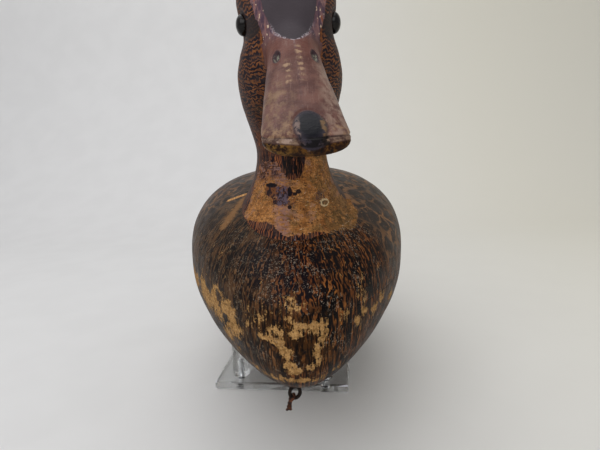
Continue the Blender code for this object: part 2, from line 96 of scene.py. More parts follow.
def vnoise(points, size, seed=0, octaves=1):
    """Value noise in -1..1 at points (N, 3); size is the grain in the points' own unit."""
    total = np.zeros(len(points))
    weight = 0.0
    amp = 1.0
    for octave in range(octaves):
        p = points / (size / 2 ** octave) + 37.3 * octave
        cell = np.floor(p).astype(np.int64)
        f = p - cell
        f = f * f * (3.0 - 2.0 * f)
        value = np.zeros(len(points))
        for dx in (0, 1):
            for dy in (0, 1):
                for dz in (0, 1):
                    w = (
                        (f[:, 0] if dx else 1 - f[:, 0])
                        * (f[:, 1] if dy else 1 - f[:, 1])
                        * (f[:, 2] if dz else 1 - f[:, 2])
                    )
                    value += w * hashed(
                        cell[:, 0] + dx, cell[:, 1] + dy, cell[:, 2] + dz, seed + octave
                    )
        total += amp * (2.0 * value - 1.0)
        weight += amp
        amp *= 0.5
    return total / weight


def even_ring(points, count):
    """Closed outline (N, 3) resampled to count evenly spaced points."""
    closed = np.vstack([points, points[:1]])
    step = np.linalg.norm(np.diff(closed, axis=0), axis=1)
    run = np.concatenate([[0.0], np.cumsum(step)])
    where = np.linspace(0.0, run[-1], count, endpoint=False)
    return np.stack([np.interp(where, run, closed[:, k]) for k in range(3)], 1)


# ---- mesh plumbing ----
def link(name, data):
    ob = bpy.data.objects.new(name, data)
    bpy.context.scene.collection.objects.link(ob)
    return ob


def smooth_object(name, me):
    me.polygons.foreach_set("use_smooth", [True] * len(me.polygons))
    return link(name, me)


def mesh_object(name, verts, faces):
    me = bpy.data.meshes.new(name)
    me.from_pydata([tuple(v) for v in verts], [], faces)
    me.update()
    return smooth_object(name, me)


def bm_object(name, bm):
    bmesh.ops.recalc_face_normals(bm, faces=bm.faces)
    me = bpy.data.meshes.new(name)
    bm.to_mesh(me)
    bm.free()
    return smooth_object(name, me)


def skin(rings, first=None, last=None):
    """Vertices and faces of a closed loft through rings (R, N, 3) with optional poles."""
    rings = np.asarray(rings, float)
    count, points = rings.shape[:2]
    verts = rings.reshape(-1, 3)
    faces = []
    for r in range(count - 1):
        a = r * points
        b = a + points
        for k in range(points):
            j = (k + 1) % points
            faces.append((a + k, a + j, b + j, b + k))
    extra = []
    for pole, ring in ((first, 0), (last, count - 1)):
        base = ring * points
        if pole is None:
            order = [base + k for k in range(points)]
            faces.append(tuple(reversed(order)) if ring == 0 else tuple(order))
            continue
        tip = len(verts) + len(extra)
        extra.append(pole)
        for k in range(points):
            j = (k + 1) % points
            faces.append((tip, base + j, base + k) if ring == 0 else (tip, base + k, base + j))
    if extra:
        verts = np.vstack([verts, np.asarray(extra, float)])
    return verts, faces


def lathe(name, profile, segments, matrix):
    """Solid of revolution about local Z from (radius, z) pairs in metres."""
    rings = []
    angles = np.linspace(0.0, 2.0 * math.pi, segments, endpoint=False)
    for radius, z in profile:
        if radius > 0.0:
            rings.append(
                np.stack([radius * np.cos(angles), radius * np.sin(angles), z + 0 * angles], 1)
            )
    first = (0, 0, profile[0][1]) if profile[0][0] <= 0 else None
    last = (0, 0, profile[-1][1]) if profile[-1][0] <= 0 else None
    verts, faces = skin(rings, first, last)
    ob = mesh_object(name, verts, faces)
    ob.data.transform(matrix)
    face_out(ob)
    return ob


def face_out(ob):
    bm = bmesh.new()
    bm.from_mesh(ob.data)
    bmesh.ops.recalc_face_normals(bm, faces=bm.faces)
    bm.to_mesh(ob.data)
    bm.free()


def coords(ob):
    co = np.empty(len(ob.data.vertices) * 3, np.float32)
    ob.data.vertices.foreach_get("co", co)
    return co.reshape(-1, 3).astype(float)


def set_coords(ob, co):
    ob.data.vertices.foreach_set("co", np.asarray(co, np.float32).ravel())
    ob.data.update()


def normals(ob):
    no = np.empty(len(ob.data.vertices) * 3, np.float32)
    ob.data.vertices.foreach_get("normal", no)
    return no.reshape(-1, 3).astype(float)


def put(ob, name, values):
    values = np.asarray(values, np.float32)
    kind = "FLOAT" if values.ndim == 1 else "FLOAT_VECTOR"
    attribute = ob.data.attributes.new(name, kind, "POINT")
    attribute.data.foreach_set("value" if kind == "FLOAT" else "vector", values.ravel())


def apply_modifiers(ob):
    graph = bpy.context.evaluated_depsgraph_get()
    new = bpy.data.meshes.new_from_object(ob.evaluated_get(graph))
    old = ob.data
    ob.modifiers.clear()
    ob.data = new
    bpy.data.meshes.remove(old)


def relax(ob, weight, rounds):
    """Laplacian smoothing in place, weight (N) says how much each point may follow."""
    me = ob.data
    edges = np.empty(len(me.edges) * 2, np.int64)
    me.edges.foreach_get("vertices", edges)
    a, b = edges.reshape(-1, 2).T
    co = coords(ob)
    degree = np.bincount(a, minlength=len(co)) + np.bincount(b, minlength=len(co))
    degree = np.maximum(degree, 1)[:, None]
    weight = np.asarray(weight)[:, None]
    for _ in range(rounds):
        total = np.zeros_like(co)
        for axis in range(3):
            total[:, axis] = np.bincount(a, co[b, axis], len(co)) + np.bincount(
                b, co[a, axis], len(co)
            )
        co += weight * (total / degree - co)
    set_coords(ob, co)


# ---- shader plumbing ----
class Shade:
    """Short names for building one Principled material out of nodes."""

    def __init__(self, name):
        self.mat = bpy.data.materials.new(name)
        self.mat.use_nodes = True
        self.tree = self.mat.node_tree
        self.bsdf = self.tree.nodes["Principled BSDF"]
        self.place = self.new("ShaderNodeTexCoord").outputs["Object"]
        scaled = self.new("ShaderNodeVectorMath", operation="SCALE")
        self.tree.links.new(self.place, scaled.inputs[0])
        scaled.inputs["Scale"].default_value = 1000.0
        self.mm = scaled.outputs[0]

    def new(self, kind, **settings):
        node = self.tree.nodes.new(kind)
        for key, value in settings.items():
            setattr(node, key, value)
        return node

    def feed(self, socket, value):
        if isinstance(value, bpy.types.NodeSocket):
            self.tree.links.new(value, socket)
        elif isinstance(value, (tuple, list)) and socket.type == "RGBA":
            socket.default_value = (*value[:3], 1.0)
        else:
            socket.default_value = value

    def math(self, op, a, b=0.0, c=0.0):
        node = self.new("ShaderNodeMath", operation=op)
        for socket, value in zip(node.inputs, (a, b, c)):
            self.feed(socket, value)
        return node.outputs[0]

    def add(self, a, b):
        return self.math("ADD", a, b)

    def mul(self, a, b):
        return self.math("MULTIPLY", a, b)

    def sub(self, a, b):
        return self.math("SUBTRACT", a, b)

    def top(self, a, b):
        return self.math("MAXIMUM", a, b)

    def low(self, a, b):
        return self.math("MINIMUM", a, b)

    def flip(self, a):
        return self.math("SUBTRACT", 1.0, a)

    def step(self, value, lo, hi):
        node = self.new("ShaderNodeMapRange", interpolation_type="SMOOTHSTEP")
        self.feed(node.inputs["Value"], value)
        node.inputs["From Min"].default_value = min(lo, hi)
        node.inputs["From Max"].default_value = max(lo, hi)
        if lo > hi:
            node.inputs["To Min"].default_value = 1.0
            node.inputs["To Max"].default_value = 0.0
        return node.outputs["Result"]

    def attr(self, name, vector=False):
        node = self.new("ShaderNodeAttribute", attribute_name=name)
        return node.outputs["Vector" if vector else "Fac"]

    def stretch(self, vector, scale, at=(0, 0, 0)):
        node = self.new("ShaderNodeMapping")
        self.feed(node.inputs["Vector"], vector)
        node.inputs["Scale"].default_value = scale
        node.inputs["Location"].default_value = at
        return node.outputs[0]

    def noise(self, vector, grain, detail=2.0, rough=0.5, distort=0.0, at=(0, 0, 0)):
        """Noise with its grain in mm (a number or three of them)."""
        if not isinstance(grain, (tuple, list)):
            grain = (grain, grain, grain)
        vec = self.stretch(vector, tuple(1.0 / g for g in grain), at)
        node = self.new("ShaderNodeTexNoise", noise_dimensions="3D")
        self.feed(node.inputs["Vector"], vec)
        node.inputs["Scale"].default_value = 1.0
        node.inputs["Detail"].default_value = detail
        node.inputs["Roughness"].default_value = rough
        node.inputs["Distortion"].default_value = distort
        return node.outputs["Fac"]

    def cells(self, vector, grain, feature):
        vec = self.stretch(vector, tuple(1.0 / g for g in grain))
        node = self.new("ShaderNodeTexVoronoi", feature=feature)
        self.feed(node.inputs["Vector"], vec)
        node.inputs["Scale"].default_value = 1.0
        return node.outputs["Distance"]

    def mix(self, fac, a, b):
        node = self.new("ShaderNodeMix", data_type="RGBA")
        self.feed(node.inputs[0], fac)
        self.feed(node.inputs[6], a)
        self.feed(node.inputs[7], b)
        return node.outputs[2]

    def blend(self, fac, a, b):
        node = self.new("ShaderNodeMix", data_type="FLOAT")
        self.feed(node.inputs[0], fac)
        self.feed(node.inputs[2], a)
        self.feed(node.inputs[3], b)
        return node.outputs[0]

    def split(self, vector):
        node = self.new("ShaderNodeSeparateXYZ")
        self.feed(node.inputs[0], vector)
        return node.outputs

    def join(self, x, y, z):
        node = self.new("ShaderNodeCombineXYZ")
        for socket, value in zip(node.inputs, (x, y, z)):
            self.feed(socket, value)
        return node.outputs[0]

    def abs(self, a):
        return self.math("ABSOLUTE", a)

    def swing(self, noise, reach):
        """Noise centred on nothing and scaled."""
        return self.mul(self.sub(noise, 0.5), reach)

    def lay(self, under, mask, strength, tint):
        """A coat of tint over the colour under it."""
        return self.mix(self.mul(mask, strength), under, tint)

    def relief(self, height, depth_mm):
        node = self.new("ShaderNodeBump")
        node.inputs["Strength"].default_value = 1.0
        node.inputs["Distance"].default_value = depth_mm * MM
        self.feed(node.inputs["Height"], height)
        return node.outputs[0]

    def done(self, colour=None, roughness=None, metallic=None, normal=None, **more):
        for name, value in (
            ("Base Color", colour),
            ("Roughness", roughness),
            ("Metallic", metallic),
            ("Normal", normal),
        ):
            if value is not None:
                self.feed(self.bsdf.inputs[name], value)
        for name, value in more.items():
            self.feed(self.bsdf.inputs[name.replace("_", " ")], value)
        return self.mat


def srgb(r, g, b):
    """Linear colour from familiar 0-255 values."""
    out = []
    for c in (r, g, b):
        c = c / 255.0
        out.append(c / 12.92 if c <= 0.04045 else ((c + 0.055) / 1.055) ** 2.4)
    return tuple(out)


# ---- body shape, by the same rules as the CAD body ----
BODY_FRONT_Y = -0.1781
BODY_MID_Y = -0.0300
BODY_TAIL_Y = 0.2050
BODY_HALF_W = 0.0787
BODY_KEEL_Z = 0.0380
BODY_TOP_Z = 0.1651
BODY_WIDEST_Z = 0.1086
BODY_WIDEST_DROP = 0.0062
PLAN_ROUND, KEEL_ROUND, CREST_ROUND = 1.68, 3.19, 1.35
SQUARE_LOW, SQUARE_LOW_LOSS, SQUARE_UP = 2.45, 0.49, 2.50
BODY_RINGS_FRONT, BODY_RINGS_BACK, BODY_AROUND = 110, 150, 300
SEAM_GAP = 0.00004
# share of the way back, width share, top, keel, widest height, squareness below and above
BACK_ROWS = (
    (0.00, 1.000, 0.1651, 0.0380, 0.1086, 2.45, 2.50),
    (0.12, 1.002, 0.1660, 0.0380, 0.1090, 2.50, 2.45),
    (0.25, 0.975, 0.1650, 0.0384, 0.1102, 2.50, 2.32),
    (0.38, 0.920, 0.1622, 0.0410, 0.1122, 2.45, 2.25),
    (0.50, 0.838, 0.1580, 0.0470, 0.1148, 2.35, 2.15),
    (0.62, 0.722, 0.1520, 0.0585, 0.1182, 2.20, 2.08),
    (0.73, 0.585, 0.1470, 0.0740, 0.1220, 2.10, 2.05),
    (0.82, 0.462, 0.1437, 0.0910, 0.1256, 2.05, 2.05),
    (0.89, 0.372, 0.1420, 0.1065, 0.1285, 2.05, 2.05),
    (0.95, 0.300, 0.1408, 0.1185, 0.1305, 2.10, 2.10),
    (0.985, 0.235, 0.1393, 0.1245, 0.1318, 2.15, 2.15),
    (1.00, 0.150, 0.1365, 0.1280, 0.1323, 2.20, 2.20),
)


def rounding(u, power):
    """Superellipse quarter: 1 at the middle of the body, 0 at its front."""
    return (1.0 - u ** power) ** (1.0 / power)


def body_station(y):
    """Half width, rise, drop, widest height and the two squareness powers at a place."""
    if y >= BODY_MID_Y:
        t = (y - BODY_MID_Y) / (BODY_TAIL_Y - BODY_MID_Y)
        share, top, low, wide_z, n_low, n_up = table(BACK_ROWS, t)[0]
        return BODY_HALF_W * share, top - wide_z, wide_z - low, wide_z, n_low, n_up
    u = min((BODY_MID_Y - y) / (BODY_MID_Y - BODY_FRONT_Y), 0.9999)
    wide_z = BODY_WIDEST_Z - BODY_WIDEST_DROP * u * u
    half = BODY_HALF_W * rounding(u, PLAN_ROUND)
    low = (wide_z - BODY_KEEL_Z) * rounding(u, KEEL_ROUND)
    top = (BODY_TOP_Z - wide_z) * rounding(u, CREST_ROUND)
    n_low = SQUARE_LOW - SQUARE_LOW_LOSS * float(sstep(0.0, 0.55, u))
    return half, top, low, wide_z, n_low, SQUARE_UP


def body_outline(y, count):
    half, top, low, wide_z, n_low, n_up = body_station(y)
    angle = math.pi / 2 + np.linspace(0.0, 2.0 * math.pi, 900, endpoint=False)
    c = np.cos(angle)
    s = np.sin(angle)
    n = np.where(s > 0, n_up, n_low)
    height = np.where(s > 0, top, low)
    x = half * spow(c, 2.0 / n)
    z = wide_z + height * spow(s, 2.0 / n)
    z = np.maximum(z, BOTTOM_Z)
    return even_ring(np.stack([x, np.full_like(x, y), z], 1), count)


def build_body():
    ys = []
    for i in range(BODY_RINGS_FRONT):
        u = math.sin(0.5 * math.pi * (BODY_RINGS_FRONT - i) / (BODY_RINGS_FRONT + 0.35))
        ys.append(BODY_MID_Y - u * (BODY_MID_Y - BODY_FRONT_Y))
    for i in range(BODY_RINGS_BACK + 1):
        t = i / BODY_RINGS_BACK
        ys.append(BODY_MID_Y + (1.0 - (1.0 - t) ** 1.15) * (BODY_TAIL_Y - BODY_MID_Y))
    rings = [body_outline(y, BODY_AROUND) for y in ys]
    nose = (0.0, BODY_FRONT_Y, body_station(BODY_FRONT_Y)[3])
    tail = (0.0, BODY_TAIL_Y + 0.0010, 0.1323)
    verts, faces = skin(rings, nose, tail)
    whole = mesh_object("whole", verts, faces)
    face_out(whole)
    # hand-carved unevenness, fading out on the flat underside
    co = coords(whole)
    no = normals(whole)
    mm = co / MM
    calm = sstep(BOTTOM_Z + 0.0005, BOTTOM_Z + 0.010, co[:, 2])
    uneven = 0.35 * vnoise(mm, 34.0, 3) + 0.12 * vnoise(mm, 13.0, 8)
    co -= no * (MM * calm * (0.30 + uneven))[:, None]
    set_coords(whole, co)
    # ease the corner at the very front of the breast
    relax(whole, 0.5 * sstep(BODY_FRONT_Y + 0.010, BODY_FRONT_Y + 0.002, co[:, 1]), 120)
    return whole


def cut_half(whole, name, keep_above):
    bm = bmesh.new()
    bm.from_mesh(whole.data)
    shift = SEAM_GAP if keep_above else -SEAM_GAP
    cut = bmesh.ops.bisect_plane(
        bm,
        geom=bm.verts[:] + bm.edges[:] + bm.faces[:],
        plane_co=(0, 0, SEAM_Z + shift),
        plane_no=(0, 0, 1),
        clear_inner=keep_above,
        clear_outer=not keep_above,
    )
    rim = [g for g in cut["geom_cut"] if isinstance(g, bmesh.types.BMEdge)]
    bmesh.ops.holes_fill(bm, edges=rim, sides=0)
    return bm_object(name, bm)


# ---- head shape ----
HEAD_TURN = math.radians(3.0)
HEAD_LEAN = 0.022
NECK_Y = -0.0880
HEAD_ROWS = (
    (0.1460, -0.1420, -0.0460, 0.0350, 2.10),
    (0.1520, -0.1340, -0.0510, 0.0305, 2.10),
    (0.1600, -0.1245, -0.0560, 0.0262, 2.15),
    (0.1700, -0.1165, -0.0605, 0.0228, 2.20),
    (0.1800, -0.1150, -0.0635, 0.0218, 2.25),
    (0.1900, -0.1225, -0.0660, 0.0236, 2.30),
    (0.2000, -0.1380, -0.0695, 0.0258, 2.35),
    (0.2090, -0.1535, -0.0735, 0.0270, 2.40),
    (0.2170, -0.1630, -0.0775, 0.0268, 2.40),
    (0.2250, -0.1685, -0.0815, 0.0247, 2.40),
    (0.2320, -0.1712, -0.0850, 0.0227, 2.40),
    (0.2390, -0.1708, -0.0880, 0.0223, 2.40),
    (0.2460, -0.1680, -0.0910, 0.0238, 2.45),
    (0.2530, -0.1630, -0.0945, 0.0242, 2.40),
    (0.2590, -0.1560, -0.0990, 0.0220, 2.30),
    (0.2635, -0.1475, -0.1050, 0.0170, 2.20),
    (0.2660, -0.1390, -0.1120, 0.0100, 2.10),
)
BILL_ROWS = (
    (0.00, -0.1480, 0.2270, 0.0118, 0.0150, 0.0200),
    (0.16, -0.1640, 0.2190, 0.0119, 0.0150, 0.0165),
    (0.30, -0.1770, 0.2110, 0.0120, 0.0125, 0.0140),
    (0.45, -0.1895, 0.2020, 0.0127, 0.0100, 0.0115),
    (0.60, -0.2010, 0.1937, 0.0140, 0.0080, 0.0090),
    (0.72, -0.2100, 0.1874, 0.0147, 0.0068, 0.0074),
    (0.82, -0.2175, 0.1828, 0.0151, 0.0058, 0.0058),
    (0.90, -0.2230, 0.1796, 0.0153, 0.0052, 0.0048),
    (0.95, -0.2265, 0.1775, 0.0145, 0.0046, 0.0041),
    (0.985, -0.2290, 0.1758, 0.0115, 0.0037, 0.0033),
    (1.00, -0.2300, 0.1750, 0.0070, 0.0026, 0.0023),
)
BILL_DOWN = math.radians(38.0)
BILL_RAISE = 0.0030
EYE_X = 0.0216
EYE_Y = -0.1490
EYE_Z = 0.2383
EYE_R = 0.0050


def head_place(co):
    """The slight lean and turn of the head, fading out into the neck base."""
    co = np.atleast_2d(np.asarray(co, float)).copy()
    x, y, z = co.T
    angle = HEAD_TURN * sstep(0.150, 0.180, z)
    turned_x = x * np.cos(angle) - (y - NECK_Y) * np.sin(angle)
    turned_y = x * np.sin(angle) + (y - NECK_Y) * np.cos(angle) + NECK_Y
    return np.stack([turned_x - HEAD_LEAN * np.maximum(0.0, z - 0.150), turned_y, z], 1)


def build_head():
    """Head, neck and bill in one skin, still upright and straight."""
    angle = np.linspace(0.0, 2.0 * math.pi, 96, endpoint=False)
    rings = []
    for z in np.linspace(0.146, 0.266, 150):
        front, back, half, n = table(HEAD_ROWS, z)[0]
        tilt = 0.32 * (1.0 - float(sstep(0.146, 0.180, z)))
        egg = 0.12 * float(sstep(0.185, 0.205, z))
        along = spow(np.sin(angle), 2.0 / n)
        x = half * spow(np.cos(angle), 2.0 / n) * (1.0 - egg * along)
        y = 0.5 * (front + back) + 0.5 * (back - front) * along
        rings.append(np.stack([x, y, z + tilt * (y - NECK_Y)], 1))
    stack_v, stack_f = skin(rings, None, (0.0, -0.1250, 0.2668))
    across_up = np.array([0.0, -math.sin(BILL_DOWN), math.cos(BILL_DOWN)])
    rings = []
    for s in np.linspace(0.0, 1.0, 90):
        y, z, half, up, down = table(BILL_ROWS, s)[0]
        sn = np.sin(angle)
        n = np.where(sn > 0, 2.0, 2.3)
        height = np.where(sn > 0, up, down)
        p = np.array([0.0, y, z + BILL_RAISE]) + np.outer(height * spow(sn, 2.0 / n), across_up)
        p[:, 0] += half * spow(np.cos(angle), 2.0 / n)
        rings.append(p)
    bill_v, bill_f = skin(rings, None, (0.0, -0.2305, 0.1746 + BILL_RAISE))
    offset = len(stack_v)
    faces = stack_f + [tuple(i + offset for i in f) for f in bill_f]
    ob = mesh_object("head_skin", np.vstack([stack_v, bill_v]), faces)
    face_out(ob)
    remesh = ob.modifiers.new("remesh", "REMESH")
    remesh.mode = "VOXEL"
    remesh.voxel_size = 0.00065
    apply_modifiers(ob)
    co = coords(ob)
    join = bump(co[:, 1], -0.171, 0.022) * sstep(0.205, 0.214, co[:, 2])
    relax(ob, 0.5 * np.ones(len(co)), 5)
    relax(ob, 0.7 * np.minimum(1.0, 1.6 * join), 90)
    sculpt_head(ob)
    return ob


# the lip line climbs gently along the bill, then sweeps up round the tip; heights in mm
LIP_CLIMB = 2.2
LIP_SWEEP = 4.3
LIP_SWEEP_START = 0.85


def lip_height(s):
    """Height of the lip line above the bill's middle plane, in mm, at a share along the bill."""
    return LIP_CLIMB * (s - 1.0) + LIP_SWEEP * sstep(LIP_SWEEP_START, 1.0, s)


def bill_frame(co):
    """Along-the-bill share, and height above the bill's middle plane in metres."""
    rows = np.asarray(BILL_ROWS)
    along = np.array([0.0, -math.cos(BILL_DOWN), -math.sin(BILL_DOWN)])
    up = np.array([0.0, -math.sin(BILL_DOWN), math.cos(BILL_DOWN)])
    mids = np.stack([0 * rows[:, 1], rows[:, 1], rows[:, 2] + BILL_RAISE], 1)
    run_mid = mids @ along
    run = co @ along
    s = np.interp(run, run_mid, rows[:, 0])
    mid_up = np.interp(run, run_mid, mids @ up)
    return s, co @ up - mid_up


def sculpt_head(ob):
    co = coords(ob)
    no = normals(ob)
    x, y, z = co.T
    mm = co / MM
    s, h = bill_frame(co)
    on_bill = sstep(-0.1665, -0.1720, y) * sstep(0.245, 0.235, z)
    move = np.zeros(len(co))
    # lip line all round the bill, with the lower mandible set back a little
    over = h - MM * lip_height(s)
    past = sstep(0.30, 0.42, s) * on_bill
    move -= 0.00050 * bump(over, 0.0, 0.0008) * past
    move -= 0.00030 * sstep(-0.0003, -0.0012, over) * past
    # nail at the tip of the bill
    top_side = sstep(0.0, 0.0012, h)
    nail_r = np.hypot((x - 0.0013) / 0.0060, (s - 0.900) / 0.118)
    nail = (1.0 - sstep(0.80, 1.0, nail_r)) * top_side * on_bill
    ring = bump(nail_r, 1.02, 0.13) * top_side * on_bill
    move += 0.00055 * nail - 0.00030 * ring
    # nostrils
    for side in (-1, 1):
        r = np.hypot((x - side * 0.0076) / 0.0015, (s - 0.390) / 0.038)
        hole = (1.0 - sstep(0.55, 1.0, r)) * top_side * on_bill
        rim = bump(r, 1.15, 0.35) * top_side * on_bill
        move += 0.00020 * rim - 0.00090 * hole
    # eye sockets: a shallow ring round each eye and a brow above
    for side in (-1, 1):
        r = np.sqrt(((y - EYE_Y) / MM) ** 2 + ((z - EYE_Z) / MM) ** 2)
        flank = sstep(0.012, 0.017, side * x)
        move -= 0.0007 * bump(r, 6.0, 2.2) * flank
        groove = bump(z, 0.2315 + 0.10 * (y - EYE_Y), 0.007) * bump(y, -0.150, 0.030)
        move -= 0.0006 * groove * flank
    # carving unevenness
    move += 0.00022 * vnoise(mm, 17.0, 21) + 0.00007 * vnoise(mm, 5.5, 22)
    # tool flats down the neck
    neck = sstep(0.215, 0.195, z) * (1.0 - on_bill)
    move += 0.00018 * neck * vnoise(np.stack([mm[:, 0], mm[:, 1], mm[:, 2] * 0.25], 1), 7.0, 31)
    co += no * move[:, None]
    set_coords(ob, co)


# ---- paint masks carried on the points ----
def egg(mm, centre, radii):
    """1 in the middle of an egg-shaped patch, 0 at its rim and beyond (never below -1)."""
    d = (mm - np.asarray(centre, float)) / np.asarray(radii, float)
    return np.maximum(1.0 - np.sqrt((d * d).sum(1)), -1.0)


def stroke(mm, start, end, radius):
    """1 along a straight stroke, 0 at its edge and beyond (never below -1)."""
    start = np.asarray(start, float)
    run = np.asarray(end, float) - start
    along = np.clip(((mm - start) @ run) / (run @ run), 0.0, 1.0)
    off = mm - start - along[:, None] * run
    return np.maximum(1.0 - np.sqrt((off * off).sum(1)) / radius, -1.0)


def patches(mm, rows):
    """Strongest of several egg-shaped patches, islands (negative strength) taken away."""
    total = np.full(len(mm), -1.0)
    for strength, centre, radii in rows:
        if strength > 0:
            total = np.maximum(total, strength * egg(mm, centre, radii))
    for strength, centre, radii in rows:
        if strength < 0:
            total += 1.6 * strength * np.clip(egg(mm, centre, radii) + 0.25, 0.0, 1.0)
    return total


# bare wood: strength, centre and radii in mm; a negative strength is an island of old paint
WEAR = (
    (1.1, (-64, -101, 101), (12, 20, 9)),
    (1.4, (-54, -124, 99), (10, 20, 13)),
    (1.5, (-45, -138, 98), (9, 15, 13)),
    (1.5, (-37, -150, 96), (9, 14, 10)),
    (1.2, (-34, -152, 89), (8, 12, 9)),
    (1.0, (-38, -144, 81), (6, 10, 7)),
    (-0.9, (-50, -132, 106), (3, 8, 4)),
    (-0.8, (-43, -142, 101), (2, 6, 5)),
    (-0.7, (-39, -148, 92), (2, 6, 3)),
    (0.30, (-20, -169, 98), (10, 10, 6)),
    (0.40, (-3, -177, 104), (5, 10, 10)),
    (0.9, (-11, -175, 95), (6, 8, 4)),
    (1.0, (-15, -171, 90), (6, 8, 3)),
    (1.2, (-9, -174, 88), (7, 8, 4)),
    (0.9, (-1, -177, 93), (5, 8, 3)),
    (1.1, (9, -176, 96), (8, 8, 4)),
    (1.0, (12, -174, 90), (4, 8, 6)),
    (1.2, (-5, -176, 82), (3.5, 8, 6)),
    (1.0, (9, -174, 83), (3, 8, 7)),
    (1.1, (5, -173, 75), (5, 8, 3.5)),
    (1.1, (-7, -176, 85), (4, 8, 5)),
    (1.1, (-4, -175, 77), (4, 8, 4.5)),
    (1.0, (9, -175, 77), (3, 8, 4.5)),
    (0.9, (3, -176, 97), (6, 8, 3)),
    (1.1, (-2, -173, 73), (6, 8, 4)),
    (-1.2, (2, -177, 81), (4.5, 8, 5)),
    (-1.0, (-2, -178, 88), (4.5, 8, 1.8)),
    (-0.9, (4, -177, 89), (4, 8, 3)),
    (-0.8, (-13, -172, 82), (4, 8, 5)),
    (0.9, (-2, -169, 66), (15, 8, 3)),
    (0.8, (-13, -162, 65), (10, 8, 3)),
    (0.7, (-24, -153, 66), (9, 8, 3)),
    (0.5, (-33, -146, 74), (5, 8, 4)),
    (0.6, (9, -165, 64), (10, 8, 2.5)),
    (0.4, (18, -160, 66), (8, 8, 3)),
    (1.0, (31, -157, 92), (4, 6, 5)),
    (0.9, (35, -153, 95), (4, 6, 5)),
    (1.1, (42, -142, 92), (3, 8, 5)),
    (1.1, (47, -135, 96), (3, 8, 5)),
    (0.9, (56, -114, 90), (4, 12, 6)),
    (0.40, (24, -165, 98), (5, 6, 3)),
    (0.30, (34, -155, 104), (3, 6, 8)),
    (0.9, (60, 40, 84), (8, 26, 9)),
    (0.8, (-62, 30, 86), (8, 30, 8)),
    (0.9, (0, 196, 130), (9, 10, 7)),
    (0.7, (-30, 130, 96), (9, 20, 8)),
    (0.7, (36, 120, 92), (8, 22, 8)),
)
# thinly rubbed paint, brown showing through
RUB = (
    (1.0, (-20, -168, 96), (24, 30, 18)),
    (1.2, (-2, -176, 92), (24, 30, 22)),
    (1.0, (10, -172, 76), (26, 30, 18)),
    (0.9, (-12, -165, 72), (26, 30, 16)),
    (0.9, (34, -150, 92), (16, 24, 16)),
    (1.0, (-46, -136, 98), (20, 36, 22)),
    (0.8, (52, -122, 94), (14, 30, 14)),
)
# neck filler, heights in mm: its level lower edge, the low shoulder, a lobe left of the neck
# with a saddle beside it, and a film drawn up the neck on the right
COLLAR_BASE = 133.5
COLLAR_SHOULDER = 143.0
COLLAR_LOBE = 30.0
COLLAR_SADDLE = 11.0
COLLAR_FILM = 28.0


def collar_low(x):
    """Lower edge of the filler: level under the neck, up on the left, closing at the ends."""
    rise = 6.0 * sstep(-5.0, -14.0, x) + 12.0 * sstep(-27.0, -36.0, x)
    return COLLAR_BASE + rise + 14.0 * sstep(34.0, 43.0, x)


def collar_high(x):
    """How far up the filler reaches: lobe, saddle and film, then the fall to the right end."""
    lobe = COLLAR_LOBE * sstep(-30.0, -18.0, x) - COLLAR_SADDLE * sstep(-10.0, -2.0, x)
    film = COLLAR_FILM * sstep(3.0, 14.0, x)
    fall = 40.0 * sstep(24.0, 32.0, x) + 14.0 * sstep(32.0, 42.0, x)
    return COLLAR_SHOULDER + lobe + film - fall


def shared_masks(ob, co):
    """Masks used by both the body and the head skins."""
    mm = co / MM
    x, y, z = mm.T
    theta = np.arctan2(x, -(y + 72.0))
    dist = np.sqrt(x ** 2 + (y + 88.0) ** 2 + (z - 152.0) ** 2)
    put(ob, "flow", np.stack([theta * 100.0, dist, 0.2 * y], 1))
    wobble = vnoise(mm, 7.0, 41, 3)
    low = z - collar_low(x) + 1.2 * wobble
    high = collar_high(x) - z + 1.5 * wobble
    front = -97.0 - y + 15.0 * vnoise(mm, 12.0, 43, 3) - 0.10 * (z - 150.0)
    put(ob, "filler", np.clip(np.minimum(np.minimum(low, high), front) / 4.0, -1.0, 1.0))
    put(ob, "wear", np.clip(patches(mm, WEAR), -1.0, 1.5))
    put(ob, "rub", np.clip(patches(mm, RUB), -1.0, 1.0))


def body_masks(ob):
    co = coords(ob)
    shared_masks(ob, co)
    mm = co / MM
    x, y, z = mm.T
    right = sstep(18.0, 50.0, x)
    upper = sstep(128.0, 144.0, z - 0.10 * (y + 100.0) + 22.0 * right)
    ahead = y + 0.55 * np.maximum(x - 25.0, 0.0)
    back = np.clip(sstep(-120.0, -100.0, ahead) * upper + sstep(-100.0, -40.0, y), 0.0, 1.0)
    mess = egg(mm, (-12, -172, 122), (34, 60, 26))
    put(ob, "mess", np.clip(1.6 * mess, 0.0, 1.0))
    # the back and sides: where the feather pattern goes, and where the dark paint gets a painted
    # sheen
    put(ob, "feather_and_sheen", back)
    put(ob, "left", sstep(6.0, -34.0, x) * sstep(-60.0, -90.0, y))
    put(ob, "scrape", stroke(mm, (-43, -83, 148), (-27, -83, 154), 2.6))
    put(ob, "streak", stroke(mm, (-31, -88, 151), (-42, -114, 136), 5.5))
    put(ob, "under", sstep(60.0, 46.0, z))
    put(ob, "seam", bump(z, SEAM_Z / MM, 0.35) * sstep(-110.0, -60.0, y))


# dark patch over the forehead and crown: half an ellipse standing on its foot, in mm
CROWN_FOOT = 223.0
CROWN_REACH = 31.0
CROWN_HALF = 12.9


def crown_width(z):
    """Half width of the dark patch at a height; slightly negative below its foot."""
    up = np.clip((z - CROWN_FOOT) / CROWN_REACH, 0.0, 1.0)
    under = np.clip(2.5 * (z - CROWN_FOOT), -1.0, 0.0)
    return CROWN_HALF * np.sqrt(1.0 - (1.0 - up) ** 2) + under


